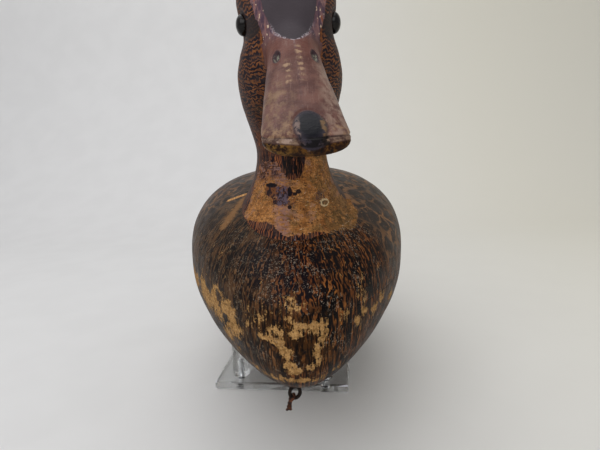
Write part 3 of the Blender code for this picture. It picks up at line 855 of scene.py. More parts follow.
def head_masks(ob):
    co = coords(ob)
    mm = co / MM
    x, y, z = mm.T
    s, h = bill_frame(co)
    h = h / MM
    wob = vnoise(mm, 5.0, 51, 2)
    width = crown_width(z) * sstep(-92.0, -112.0, y)
    inside = width - np.abs(x) + 0.35 * wob
    put(ob, "crown", np.clip(inside / 2.0, -3.0, 3.0))
    put(ob, "front", sstep(-100.0, -140.0, y))
    # the bill, and two bands of the same colour up beside the patch
    bill = np.minimum(-164.5 - y, 226.0 - z) / 2.0
    bill = np.maximum(bill, np.minimum(12.6 - np.abs(x), np.minimum(-162.0 - y, z - 206.0)) / 2.0)
    band = np.minimum(width + 4.4 - np.abs(x), np.minimum(-118.0 - y, z - 214.0)) / 2.0
    bill = np.maximum(bill, band) + 0.25 * wob
    bill = np.where((y > -176.0) & (z < 206.0), -1.0, bill)
    put(ob, "bill", np.clip(bill, -2.0, 2.0))
    put(ob, "bill_s", s)
    put(ob, "bill_h", h)
    put(ob, "side", x)
    top_side = sstep(0.0, 1.2, h)
    put(ob, "nail", 1.0 - np.hypot((x - 1.3) / 6.1, (s - 0.900) / 0.120) - 2.0 * (1.0 - top_side))
    put(ob, "lip", h - lip_height(s))
    hole = np.full(len(co), 9.0)
    for side in (-1, 1):
        hole = np.minimum(hole, np.hypot((x - side * 7.6) / 1.4, (s - 0.390) / 0.036))
    put(ob, "nostril", np.where(h > 0, hole, 9.0))
    put(ob, "eye_d", np.hypot(y - EYE_Y / MM, z - EYE_Z / MM))
    put(ob, "lores", egg(np.abs(mm) * (1, -1, 1), (16.5, -160, 234), (9, 10, 7)))
    crease = bump(np.abs(x), 13.4, 0.9) * bump(y, -165.5, 6.0) * sstep(212.0, 220.0, z)
    put(ob, "crease", crease * sstep(234.0, 229.0, z))
    placed = head_place(co)
    shared_masks(ob, placed)
    put(ob, "placed", placed / MM)


# ---- materials ----
DARK = srgb(9, 6, 7)
DARK_2 = srgb(24, 18, 17)
RUST = srgb(108, 62, 30)
RUST_2 = srgb(150, 94, 46)
BARE = srgb(186, 146, 94)
BARE_2 = srgb(142, 104, 62)
FILLER = srgb(138, 86, 42)
FILLER_2 = srgb(182, 126, 72)
CREAM = srgb(214, 200, 172)


def comb_lines(m, across, along, spacing, length, thin=0.3):
    """Wavy scratched lines that wander, fork and stop: 1 on a line."""
    flow = m.join(across, along, 0.0)
    sway = m.noise(flow, (6.0, 15.0, 9.0), 2.0, 0.5)
    jitter = m.noise(flow, (2.0, 4.0, 3.0), 1.0, 0.5, at=(7, 3, 1))
    phase = m.add(m.mul(across, 1.0 / spacing), m.add(m.mul(sway, 4.2), m.mul(jitter, 1.8)))
    wave = m.math("SINE", m.mul(phase, 2.0 * math.pi))
    broken = m.noise(flow, (spacing * 0.9, length, 5.0), 2.0, 0.6, at=(3, 9, 5))
    return m.mul(m.step(wave, thin, thin + 0.6), m.step(broken, 0.40, 0.54))


def neck_filler(m, place, colour):
    """The old putty collar: colour under it in, colour with it and its mask out."""
    ragged = m.noise(place, 2.6, 4.0, 0.7, at=(5, 5, 5))
    mask = m.step(m.add(m.attr("filler"), m.swing(ragged, 1.7)), 0.02, 0.12)
    pos = m.split(place)
    tone = m.noise(place, 5.0, 5.0, 0.7, at=(1, 7, 3))
    putty = m.mix(m.step(tone, 0.36, 0.64), FILLER, FILLER_2)
    strokes = m.noise(place, (4.0, 3.0, 0.8), 4.0, 0.65, at=(4, 1, 2))
    putty = m.lay(putty, m.step(strokes, 0.47, 0.6), 0.6, srgb(98, 64, 36))
    scratch = m.noise(place, (0.8, 2.0, 2.6), 3.0, 0.65, at=(6, 3, 1))
    putty = m.lay(putty, m.step(scratch, 0.54, 0.64), 0.55, srgb(78, 58, 36))
    light = m.noise(place, (2.4, 2.0, 1.2), 4.0, 0.65, at=(7, 7, 2))
    putty = m.lay(putty, m.step(light, 0.56, 0.68), 0.45, srgb(190, 140, 84))
    murk = m.noise(place, 5.5, 5.0, 0.7, at=(2, 6, 8))
    murk_side = m.math("MULTIPLY_ADD", m.step(pos[0], 2.0, 30.0), 0.2, m.swing(murk, 1.2))
    putty = m.lay(putty, m.step(murk_side, 0.03, 0.2), 0.55, srgb(80, 66, 38))
    grey = m.noise(place, 7.0, 3.0, 0.6, at=(9, 2, 6))
    putty = m.lay(putty, m.step(grey, 0.55, 0.66), 0.5, srgb(144, 110, 92))
    specks = m.step(m.noise(place, 1.1, 2.0, 0.6, at=(8, 2, 2)), 0.60, 0.66)
    putty = m.lay(putty, specks, 0.8, DARK)
    pale = m.step(m.noise(place, (2.2, 1.0, 0.7), 2.0, 0.6, at=(3, 8, 2)), 0.66, 0.72)
    putty = m.lay(putty, pale, 0.5, CREAM)
    lines = m.noise(place, 2.1, 2.0, 0.55, 0.6, at=(3, 5, 9))
    lines = m.step(m.abs(m.sub(lines, 0.5)), 0.03, 0.01)
    lines = m.mul(lines, m.step(m.noise(place, 5.0, 3.0, 0.6, at=(8, 8, 1)), 0.42, 0.56))
    putty = m.lay(putty, lines, 0.75, srgb(54, 36, 26))
    drip = m.add(m.abs(m.add(pos[0], 6.5)), m.swing(m.noise(place, 7.0, 3.0, 0.6), 9.0))
    drip = m.mul(m.step(drip, 6.0, 2.0), m.step(light, 0.38, 0.56))
    putty = m.lay(putty, drip, 0.7, srgb(138, 104, 98))
    veins = m.noise(place, (1.5, 2.0, 3.6), 3.0, 0.6, 0.5, at=(5, 1, 7))
    film = m.mul(
        m.step(m.add(pos[2], m.swing(murk, 16.0)), 158.0, 166.0), m.step(pos[0], 2.0, -3.0)
    )
    film_col = m.mix(m.step(veins, 0.50, 0.55), srgb(34, 22, 28), srgb(130, 84, 56))
    film_col = m.mix(m.step(strokes, 0.52, 0.60), film_col, srgb(124, 98, 96))
    putty = m.lay(putty, film, 0.85, film_col)
    # what is left of older dark paint on the left of the collar
    torn = m.noise(place, (2.0, 2.0, 3.4), 4.0, 0.7, 0.8, at=(2, 3, 3))
    old = m.top(
        spot(m, place, (-13, -121, 157), (3.4, 14, 4.0), ragged),
        spot(m, place, (-6.5, -123, 153.5), (6.4, 14, 5.4), ragged),
    )
    pale_part = m.mul(m.step(pos[0], -11.0, -8.0), m.step(pos[0], -1.5, -4.5))
    old_col = m.mix(m.step(veins, 0.50, 0.56), srgb(20, 15, 28), srgb(104, 62, 36))
    old_col = m.mix(m.mul(m.step(torn, 0.46, 0.52), pale_part), old_col, srgb(84, 74, 88))
    putty = m.lay(putty, m.mul(old, m.step(murk, 0.36, 0.42)), 0.92, old_col)
    for centre, size in (
        ((3.0, -123, 155.6), (1.6, 9, 1.2)),
        ((1.0, -123, 154.4), (1.2, 9, 0.9)),
        ((-2.4, -128, 147.4), (1.3, 9, 1.1)),
        ((-2.0, -122, 155.6), (1.3, 9, 2.6)),
        ((-13.0, -120, 159.4), (3.8, 9, 1.2)),
    ):
        chip = spot(m, place, centre, size, ragged)
        putty = m.lay(putty, chip, 0.95, srgb(18, 13, 20))
    ring_edge = m.noise(place, 1.5, 3.0, 0.7, at=(1, 2, 2))
    ring_in = spot(m, place, (17.6, -120, 148.6), (2.7, 9, 2.2), ring_edge)
    ring_core = spot(m, place, (17.9, -120, 148.5), (2.0, 9, 1.3), ring_edge)
    putty = m.lay(putty, ring_in, 0.85, srgb(196, 174, 134))
    putty = m.mix(
        ring_core, putty, m.mix(m.step(torn, 0.45, 0.55), srgb(40, 30, 26), srgb(130, 96, 62))
    )
    crack_z = m.add(m.swing(m.noise(place, 6.0, 2.0), 9.0), 149.8)
    crack = m.step(m.abs(m.sub(pos[2], crack_z)), 0.35, 0.12)
    crack = m.mul(crack, m.mul(m.step(pos[0], -14.0, -10.0), m.step(pos[0], 15.0, 12.0)))
    putty = m.lay(putty, crack, 0.7, srgb(52, 36, 34))
    olive = spot(m, place, (27, -118, 139.5), (9.0, 12, 4.5), ragged)
    putty = m.lay(putty, m.mul(olive, m.step(tone, 0.62, 0.46)), 0.55, srgb(58, 50, 28))
    beside = spot(m, place, (15.0, -120, 152.0), (3.0, 9, 4.0), ragged)
    putty = m.lay(putty, m.mul(beside, m.step(veins, 0.46, 0.54)), 0.65, srgb(52, 46, 50))
    return m.mix(mask, colour, putty), mask


def spot(m, place, centre, radii, ragged):
    """Ragged-edged spot at a place on the object, in mm."""
    d = m.stretch(
        place, tuple((1.0 / r for r in radii)), tuple((-c / r for c, r in zip(centre, radii)))
    )
    length = m.new("ShaderNodeVectorMath", operation="LENGTH")
    m.feed(length.inputs[0], d)
    reach = m.add(length.outputs["Value"], m.swing(ragged, 1.1))
    return m.step(reach, 1.05, 0.92)


def paint_body():
    m = Shade("body_paint")
    mm = m.mm
    flow = m.split(m.attr("flow", True))
    left = m.attr("left")
    mess = m.attr("mess")
    lines = comb_lines(m, flow[0], flow[1], 3.3, 13.0, 0.15)
    # rounded dark feathers edged in rust on the back and sides
    warp = m.noise(mm, 8.0, 2.0, 0.5)
    warp_2 = m.noise(mm, 8.0, 2.0, 0.5, at=(5, 5, 5))
    wander = m.join(m.mul(warp, 8.0), m.mul(warp_2, 8.0), 0.0)
    shift = m.new("ShaderNodeVectorMath", operation="ADD")
    m.feed(shift.inputs[0], mm)
    m.feed(shift.inputs[1], wander)
    net = m.cells(shift.outputs[0], (8.5, 12.0, 9.5), feature="DISTANCE_TO_EDGE")
    fray = m.noise(mm, 2.2, 3.0, 0.65, at=(8, 4, 4))
    net = m.add(net, m.swing(fray, 0.16))
    web = m.step(net, 0.14, 0.05)
    inner = m.mul(m.step(net, 0.22, 0.25), m.step(net, 0.32, 0.29))
    inner = m.mul(inner, m.step(m.noise(mm, 4.0, 2.0, at=(2, 9, 1)), 0.50, 0.58))
    web_break = m.noise(mm, 6.0, 3.0, 0.6, at=(4, 4, 2))
    patchy = m.noise(mm, 26.0, 3.0, 0.6, at=(1, 3, 9))
    web = m.mul(m.top(web, m.mul(inner, 0.5)), m.step(web_break, 0.34, 0.52))
    web = m.mul(web, m.blend(m.step(patchy, 0.36, 0.60), 0.35, 0.90))
    feather_and_sheen = m.attr("feather_and_sheen")
    marks = m.blend(feather_and_sheen, lines, web)
    marks = m.mul(marks, m.blend(left, 1.0, 0.62))

    tone = m.noise(mm, 20.0, 3.0, 0.6)
    dark = m.mix(m.step(tone, 0.35, 0.65), DARK, DARK_2)
    dark = m.lay(dark, mess, 0.7, srgb(20, 13, 21))
    # painted sheen: the dark paint on the back and sides is lifted to a grey-brown
    dark = m.lay(dark, feather_and_sheen, 0.8, srgb(58, 50, 45))
    dark = m.lay(dark, left, 0.5, srgb(28, 23, 20))
    rust_tone = m.noise(mm, 5.0, 3.0, 0.6, at=(9, 1, 4))
    rust = m.mix(m.step(rust_tone, 0.38, 0.66), RUST, RUST_2)
    rust = m.lay(rust, mess, 0.6, srgb(110, 58, 34))
    rust = m.lay(rust, feather_and_sheen, 0.8, srgb(138, 102, 70))
    rust = m.lay(rust, left, 0.6, srgb(112, 92, 66))
    dull = m.noise(mm, 9.0, 4.0, 0.65, at=(2, 8, 6))
    strength = m.blend(m.step(dull, 0.36, 0.60), 0.40, 1.0)
    colour = m.mix(m.mul(marks, strength), dark, rust)
    # broad worn blotches of rust between the lines
    blotch = m.noise(m.join(flow[0], flow[1], 0.0), (3.2, 8.0, 3.0), 4.0, 0.7, at=(6, 2, 3))
    blotch = m.mul(m.step(blotch, 0.55, 0.63), m.blend(left, 0.65, 0.30))
    colour = m.mix(m.mul(blotch, m.flip(feather_and_sheen)), colour, srgb(96, 58, 30))
    smear = m.noise(m.join(flow[0], flow[1], 0.0), (9.0, 16.0, 9.0), 3.0, 0.6, at=(3, 3, 1))
    smear = m.mul(m.step(smear, 0.52, 0.64), m.mul(left, 0.55))
    colour = m.mix(smear, colour, srgb(94, 66, 42))

    # thin, rubbed paint: brown stain in the dark between the lines
    streak = m.noise(m.join(flow[0], flow[1], 0.0), (1.4, 7.0, 3.0), 4.0, 0.65, at=(2, 2, 9))
    rub_noise = m.noise(mm, 4.5, 4.0, 0.65, at=(6, 2, 3))
    rub = m.step(m.add(m.attr("rub"), m.swing(rub_noise, 2.6)), 0.3, 0.9)
    stain = m.mix(m.step(streak, 0.42, 0.58), srgb(11, 6, 4), srgb(70, 43, 19))
    colour = m.lay(colour, rub, 0.78, stain)

    colour, fill_mask = neck_filler(m, mm, colour)

    # bare wood where the paint has chipped away
    wear = m.attr("wear")
    chip = m.noise(mm, 4.0, 7.0, 0.74, at=(11, 3, 7))
    edge_noise = m.add(m.swing(chip, 3.6), m.swing(streak, 2.2))
    wear_mask = m.step(m.add(wear, edge_noise), 0.30, 0.38)
    speck_noise = m.noise(mm, (0.9, 1.2, 1.8), 3.0, 0.6, at=(3, 7, 1))
    speck_mask = m.mul(m.step(speck_noise, 0.60, 0.66), m.step(m.attr("rub"), 0.05, 0.5))
    speck_mask = m.mul(speck_mask, m.step(chip, 0.48, 0.58))
    wear_mask = m.top(wear_mask, m.mul(speck_mask, 0.5))
    grain = m.noise(mm, (0.9, 7.0, 0.9), 4.0, 0.7, at=(0, 4, 4))
    wood = m.mix(m.step(grain, 0.32, 0.66), BARE_2, BARE)
    soil = m.noise(mm, 2.8, 5.0, 0.7, at=(6, 6, 1))
    wood = m.lay(wood, m.step(soil, 0.46, 0.64), 0.7, srgb(110, 78, 42))
    pits = m.step(m.noise(mm, 1.1, 3.0, 0.6, at=(1, 1, 1)), 0.56, 0.64)
    wood = m.lay(wood, pits, 0.6, srgb(62, 42, 26))
    colour = m.mix(wear_mask, colour, wood)

    fringe = m.noise(mm, (2.0, 3.5, 1.2), 4.0, 0.7, at=(4, 4, 9))
    smudge = m.step(m.add(m.attr("streak"), m.swing(fringe, 1.6)), 0.15, 0.75)
    colour = m.lay(colour, smudge, 0.75, srgb(134, 96, 58))
    scrape_mask = m.step(m.add(m.attr("scrape"), m.swing(fringe, 1.3)), 0.2, 0.36)
    colour = m.lay(
        colour, scrape_mask, 0.9,
        m.mix(m.step(grain, 0.4, 0.6), srgb(150, 98, 52), srgb(206, 158, 98)),
    )

    # pale curls of lifted varnish and flecks of old primer
    curl = m.noise(mm, (2.0, 2.0, 3.0), 2.0, 0.5, at=(12, 5, 1))
    curl = m.step(m.abs(m.sub(curl, 0.5)), 0.026, 0.01)
    fleck_where = m.noise(mm, 9.0, 4.0, 0.65, at=(3, 3, 8))
    fleck_where = m.add(fleck_where, m.mul(mess, 0.07))
    broken = m.step(m.noise(mm, 1.2, 2.0, 0.6, at=(9, 9, 2)), 0.46, 0.54)
    curl = m.mul(m.mul(curl, broken), m.step(fleck_where, 0.50, 0.60))
    dots = m.step(m.noise(mm, (0.9, 0.9, 1.5), 1.0, 0.5, at=(2, 5, 7)), 0.66, 0.71)
    dots = m.mul(dots, m.step(fleck_where, 0.48, 0.58))
    front_only = m.mul(m.flip(feather_and_sheen), m.blend(left, 1.0, 0.5))
    flecks = m.mul(m.top(m.mul(curl, 0.60), m.mul(dots, 0.6)), front_only)
    flecks = m.mul(flecks, m.flip(m.mul(rub, 0.8)))
    colour = m.mix(flecks, colour, srgb(164, 148, 130))
    dust = m.noise(m.join(flow[0], flow[1], 0.0), (0.8, 3.4, 3.0), 3.0, 0.6, at=(1, 6, 6))
    dust = m.mul(m.step(dust, 0.60, 0.68), m.mul(left, m.flip(feather_and_sheen)))
    colour = m.lay(colour, dust, 0.5, srgb(128, 114, 88))
    seam_break = m.step(m.noise(mm, (6.0, 6.0, 1.0), 2.0), 0.42, 0.52)
    colour = m.mix(m.mul(m.attr("seam"), seam_break), colour, srgb(16, 12, 11))
    under = m.mul(m.attr("under"), m.step(rub_noise, 0.42, 0.58))
    colour = m.lay(colour, under, 0.6, srgb(120, 88, 54))

    gloss = m.noise(mm, 7.0, 3.0, 0.6, at=(7, 7, 7))
    rough = m.blend(m.step(gloss, 0.3, 0.7), 0.34, 0.50)
    rough = m.blend(m.top(wear_mask, m.mul(fill_mask, 0.6)), rough, 0.75)
    height = m.add(m.mul(marks, -0.30), m.mul(m.flip(wear_mask), 0.9))
    height = m.add(height, m.mul(m.noise(mm, 1.0, 3.0, 0.6), 0.45))
    height = m.add(height, m.add(m.mul(fill_mask, 0.5), m.mul(flecks, 0.4)))
    normal = m.relief(height, 0.16)
    return m.done(colour, rough, normal=normal, Specular_IOR_Level=0.05)


def paint_head():
    m = Shade("head_paint")
    mm = m.mm
    place = m.attr("placed", True)
    pos = m.split(mm)
    flow = m.split(m.attr("flow", True))
    # vermiculation: wavy dark lines running across the cheeks, on rust
    warp = m.noise(mm, (5.0, 5.0, 7.0), 2.0, 0.5)
    warp2 = m.noise(mm, (1.7, 1.7, 2.4), 1.0, 0.5, at=(3, 1, 8))
    phase = m.add(m.mul(pos[2], 1.0 / 1.9), m.add(m.mul(warp, 3.4), m.mul(warp2, 1.5)))
    wave = m.math("SINE", m.mul(phase, 2.0 * math.pi))
    cheek_marks = m.step(wave, -0.02, 0.55)
    rust_tone = m.noise(mm, 4.0, 3.0, 0.5, at=(9, 1, 4))
    rust = m.mix(m.step(rust_tone, 0.35, 0.7), srgb(100, 60, 38), srgb(132, 82, 46))
    ink = srgb(26, 22, 30)
    cheek = m.mix(cheek_marks, ink, rust)
    haze = m.noise(mm, 7.0, 3.0, 0.6, at=(2, 5, 5))
    cheek = m.lay(cheek, m.step(haze, 0.5, 0.62), 0.4, srgb(72, 56, 52))
    faded = m.noise(mm, (4.0, 4.0, 7.0), 4.0, 0.65, at=(8, 5, 1))
    cheek = m.lay(cheek, m.step(faded, 0.52, 0.62), 0.55, srgb(40, 30, 32))
    glint = m.step(m.noise(mm, (0.9, 1.4, 1.4), 2.0, 0.6, at=(5, 5, 1)), 0.66, 0.72)
    cheek = m.lay(cheek, glint, 0.55, srgb(128, 112, 108))
    # towards the throat and nape the marks turn into grey-brown combing
    slant = m.add(pos[1], m.mul(pos[2], 0.55))
    combed = comb_lines(m, slant, pos[2], 1.6, 9.0, -0.1)
    jowl = m.mix(combed, srgb(34, 28, 25), srgb(112, 92, 68))
    jowl = m.lay(jowl, m.step(haze, 0.46, 0.6), 0.5, srgb(70, 54, 42))
    low = m.step(m.add(pos[2], m.mul(haze, 8.0)), 209.0, 201.0)
    low = m.mul(low, m.step(m.add(pos[1], m.mul(haze, 20.0)), -112.0, -132.0))
    cheek = m.mix(low, cheek, jowl)
    neck_lines = comb_lines(m, m.mul(flow[0], 0.62), pos[2], 1.7, 12.0, -0.1)
    neck = m.lay(srgb(20, 13, 20), neck_lines, 0.95, srgb(138, 80, 46))
    neck = m.lay(neck, m.step(haze, 0.46, 0.6), 0.4, srgb(92, 66, 54))
    neck = m.lay(neck, m.step(pos[1], -112.0, -96.0), 0.45, srgb(46, 35, 31))
    streaks = m.noise(
        m.join(flow[0], m.mul(pos[2], 0.1), 0.0), (2.2, 3.0, 3.0), 3.0, 0.6, at=(6, 1, 1)
    )
    spread = m.add(m.abs(m.sub(pos[0], 0.5)), m.swing(streaks, 10.0))
    floor_z = m.add(pos[2], m.swing(streaks, 44.0))
    centre = m.mul(m.step(spread, 6.6, 4.6), m.step(floor_z, 160.0, 163.0))
    centre = m.mul(centre, m.flip(m.mul(m.mul(neck_lines, 0.7), m.step(streaks, 0.44, 0.52))))
    neck = m.lay(neck, centre, 0.95, srgb(12, 6, 6))
    throat = m.step(m.add(pos[2], m.swing(faded, 22.0)), 198.0, 186.0)
    colour = m.mix(throat, cheek, neck)
    lores = m.step(m.add(m.attr("lores"), m.swing(haze, 0.7)), 0.1, 0.35)
    colour = m.lay(colour, lores, 0.92, srgb(43, 36, 35))
    socket = m.step(m.attr("eye_d"), 7.6, 5.8)
    colour = m.lay(colour, socket, 0.8, srgb(30, 26, 28))
    colour = m.lay(colour, m.attr("crease"), 0.7, srgb(136, 78, 34))

    colour, fill_mask = neck_filler(m, place, colour)

    # bill
    s = m.attr("bill_s")
    side = m.attr("side")
    ragged = m.noise(mm, 2.2, 3.0, 0.65, at=(5, 5, 5))
    bill_tone = m.noise(mm, 8.0, 4.0, 0.6, at=(4, 2, 9))
    bill_col = m.mix(m.step(bill_tone, 0.35, 0.65), srgb(84, 54, 49), srgb(110, 76, 67))
    warm = m.mul(m.step(s, 0.05, 0.35), m.step(s, 0.50, 0.30))
    bill_col = m.lay(bill_col, warm, 0.5, srgb(102, 54, 42))
    brushed = m.noise(mm, (0.9, 9.0, 5.0), 4.0, 0.7, at=(2, 2, 5))
    bill_col = m.lay(bill_col, m.step(brushed, 0.54, 0.66), 0.35, srgb(134, 106, 96))
    bill_col = m.lay(bill_col, m.step(brushed, 0.44, 0.34), 0.4, srgb(74, 46, 44))
    tan = m.noise(mm, (2.6, 5.0, 5.0), 4.0, 0.6, at=(5, 9, 2))
    tan_left = m.mul(m.step(side, 1.0, -8.0), m.step(s, 0.42, 0.66))
    bill_col = m.lay(bill_col, m.mul(m.step(tan, 0.42, 0.68), tan_left), 0.6, srgb(146, 118, 90))
    tan_right = m.mul(m.step(side, 5.0, 10.0), m.step(s, 0.34, 0.50))
    bill_col = m.lay(bill_col, m.mul(m.step(tan, 0.36, 0.6), tan_right), 0.6, srgb(158, 134, 118))
    tip = m.step(s, 0.80, 0.93)
    tip_tan = m.noise(mm, 2.4, 4.0, 0.65, at=(8, 1, 3))
    bill_col = m.lay(bill_col, m.mul(m.step(tip_tan, 0.48, 0.64), tip), 0.6, srgb(160, 130, 98))
    # rows of worn specks either side of the ridge
    band_tone = m.noise(mm, (1.6, 5.0, 6.0), 3.0, 0.6, at=(3, 3, 3))
    row = m.math("SINE", m.mul(m.add(s, m.mul(ragged, 0.045)), 2.0 * math.pi * 27.0))
    for x0, start, end in ((-4.0, 0.42, 0.62), (1.3, 0.33, 0.60)):
        column = m.step(m.abs(m.sub(m.add(side, m.mul(ragged, 2.0)), x0 + 1.0)), 1.9, 0.7)
        column = m.mul(column, m.mul(m.step(s, start, start + 0.04), m.step(s, end, end - 0.05)))
        dash = m.mul(m.mul(m.step(row, -0.3, 0.9), column), m.step(band_tone, 0.36, 0.56))
        bill_col = m.lay(bill_col, dash, 0.62, srgb(176, 146, 114))
    # lip line, pale band under it and mottled ochre edge below
    lip_at = m.add(m.attr("lip"), m.swing(ragged, 0.5))
    past = m.step(s, 0.35, 0.50)
    front_end = m.step(s, 0.82, 0.90)
    pale = m.mix(m.step(tip_tan, 0.42, 0.60), srgb(66, 48, 42), srgb(120, 98, 82))
    bill_col = m.mix(m.mul(m.step(lip_at, 0.1, -0.1), m.mul(past, 0.85)), bill_col, pale)
    ochre = m.mix(m.step(tip_tan, 0.44, 0.62), srgb(34, 17, 10), srgb(88, 57, 22))
    dark_spots = m.step(m.noise(mm, 2.0, 2.0, 0.5, at=(5, 2, 2)), 0.62, 0.68)
    left_end = m.mul(m.step(side, -2.0, -10.0), m.step(tip_tan, 0.36, 0.52))
    ochre = m.lay(ochre, left_end, 0.6, srgb(132, 96, 44))
    ochre = m.mix(dark_spots, ochre, srgb(20, 12, 11))
    bill_col = m.mix(m.mul(m.step(lip_at, -1.7, -1.95), past), bill_col, ochre)
    lip = m.mul(m.step(m.abs(lip_at), 0.6, 0.1), m.step(bill_tone, 0.36, 0.5))
    bill_col = m.lay(bill_col, m.mul(lip, past), 0.75, srgb(44, 30, 34))
    second = m.step(m.abs(m.add(lip_at, 1.8)), 0.3, 0.1)
    bill_col = m.lay(bill_col, m.mul(second, front_end), 0.6, srgb(62, 40, 36))
    white = m.mul(m.step(side, -4.5, -5.5), m.step(side, -10.8, -9.8))
    white = m.mul(m.mul(white, m.step(lip_at, -0.1, -0.35)), m.step(lip_at, -1.6, -1.3))
    white = m.mul(m.mul(white, front_end), m.step(ragged, 0.42, 0.56))
    bill_col = m.lay(bill_col, white, 0.7, srgb(164, 140, 126))
    bill_mask = m.step(m.add(m.attr("bill"), m.swing(ragged, 0.8)), -0.08, 0.08)
    colour = m.mix(bill_mask, colour, bill_col)
    # bands beside the forehead patch: bluer, with dark lines and cream chips
    crown = m.attr("crown")
    band = m.mul(m.step(crown, 0.2, -0.3), m.step(pos[2], 222.0, 230.0))
    band = m.mul(band, bill_mask)
    band_col = m.mix(m.step(band_tone, 0.40, 0.62), srgb(74, 58, 72), srgb(132, 98, 96))
    band_col = m.mix(m.step(band_tone, 0.64, 0.68), band_col, srgb(136, 74, 44))
    colour = m.lay(colour, band, 0.9, band_col)
    plum_tone = m.noise(mm, 10.0, 3.0, 0.5, at=(6, 6, 2))
    plum = m.mix(plum_tone, srgb(60, 54, 58), srgb(72, 65, 69))
    crown_mask = m.step(m.add(crown, m.swing(ragged, 0.35)), -0.05, 0.05)
    back_of_crown = m.mul(m.flip(m.attr("front")), 0.45)
    crown_col = m.mix(back_of_crown, plum, srgb(40, 34, 34))
    colour = m.mix(crown_mask, colour, crown_col)
    rim = m.step(m.abs(m.add(crown, m.swing(bill_tone, 1.1))), 0.62, 0.2)
    rim = m.mul(rim, m.mul(m.attr("front"), m.step(pos[2], 236.0, 226.0)))
    rim_chip = m.mul(rim, m.step(m.noise(mm, 1.1, 3.0, 0.65, at=(1, 1, 6)), 0.44, 0.56))
    colour = m.lay(colour, rim_chip, 0.8, srgb(170, 160, 166))
    shade = m.mul(m.step(crown, -0.9, -0.3), m.step(crown, 0.3, -0.1))
    shade = m.mul(m.mul(shade, m.flip(rim_chip)), m.step(band_tone, 0.40, 0.55))
    colour = m.lay(colour, shade, 0.35, srgb(60, 50, 66))
    cream = m.step(m.noise(mm, (1.5, 1.8, 2.2), 2.0, 0.5, at=(7, 1, 1)), 0.66, 0.71)
    colour = m.mix(m.mul(cream, band), colour, srgb(200, 176, 150))
    # nail
    nail = m.add(m.attr("nail"), m.swing(ragged, 0.16))
    nail_mask = m.step(nail, -0.05, 0.14)
    off = m.sub(side, 1.3)
    colour = m.mix(
        nail_mask, colour, m.mix(m.step(nail, 0.05, 0.45), srgb(52, 46, 54), srgb(22, 21, 28))
    )
    worn = m.mul(m.step(nail, 0.04, 0.18), m.step(s, 0.82, 0.87))
    flank = m.step(m.add(m.abs(off), m.swing(ragged, 2.0)), 3.1, 3.9)
    worn = m.mul(m.mul(worn, flank), m.step(tip_tan, 0.38, 0.50))
    worn_col = m.mix(m.step(off, -1.0, 1.0), srgb(140, 118, 108), srgb(128, 98, 64))
    colour = m.lay(colour, worn, 0.65, worn_col)
    core = m.math("SQRT", m.add(m.math("POWER", m.mul(off, 0.30), 2.0),
                                m.math("POWER", m.mul(m.sub(s, 0.915), 19.0), 2.0)))
    colour = m.mix(m.step(core, 1.15, 0.85), colour, srgb(12, 12, 19))
    drip = m.mul(m.step(m.abs(m.sub(side, 2.2)), 5.4, 4.4), m.step(lip_at, 0.6, 0.1))
    drip = m.mul(
        m.mul(drip, m.step(lip_at, -2.6, -2.0)), m.mul(front_end, m.step(ragged, 0.38, 0.48))
    )
    colour = m.lay(colour, drip, 0.9, srgb(14, 11, 12))
    # nostrils
    nostril = m.add(m.attr("nostril"), m.swing(ragged, 0.5))
    nostril = m.add(nostril, m.swing(tip_tan, 0.7))
    colour = m.lay(colour, m.step(nostril, 1.45, 0.95), 0.85, srgb(44, 36, 44))
    chalk = m.step(m.noise(mm, (0.9, 1.6, 1.6), 3.0, 0.65, at=(4, 9, 4)), 0.44, 0.56)
    inside = m.mul(m.step(nostril, 0.95, 0.60), chalk)
    colour = m.lay(colour, inside, 0.85, srgb(128, 126, 108))

    rough = m.blend(bill_mask, 0.50, 0.38)
    rough = m.blend(m.mul(fill_mask, 0.7), rough, 0.70)
    rough = m.blend(m.mul(nail_mask, 0.8), rough, 0.36)
    rough = m.blend(crown_mask, rough, 0.68)
    height = m.add(m.mul(cheek_marks, 0.25), m.mul(m.noise(mm, 1.0, 3.0, 0.6), 0.40))
    height = m.add(height, m.mul(m.noise(mm, (1.2, 9.0, 9.0), 2.0), 0.3))
    normal = m.relief(height, 0.11)
    return m.done(colour, rough, normal=normal, Specular_IOR_Level=0.09)


def glass_eye():
    m = Shade("eye_glass")
    tone = m.noise(m.mm, 1.5, 2.0, 0.5)
    colour = m.mix(m.step(tone, 0.3, 0.7), srgb(7, 5, 5), srgb(16, 10, 7))
    return m.done(colour, 0.22, Specular_IOR_Level=0.16, Coat_Weight=0.15, Coat_Roughness=0.08)


def rusty(name, dark, light, grain=1.6):
    m = Shade(name)
    rust = m.noise(m.mm, grain, 4.0, 0.65)
    colour = m.mix(m.step(rust, 0.38, 0.66), dark, light)
    height = m.noise(m.mm, grain * 0.6, 4.0, 0.7, at=(5, 5, 5))
    rough = m.blend(m.step(rust, 0.4, 0.6), 0.42, 0.85)
    return m.done(colour, rough, 0.05, m.relief(height, 0.25), Specular_IOR_Level=0.15)


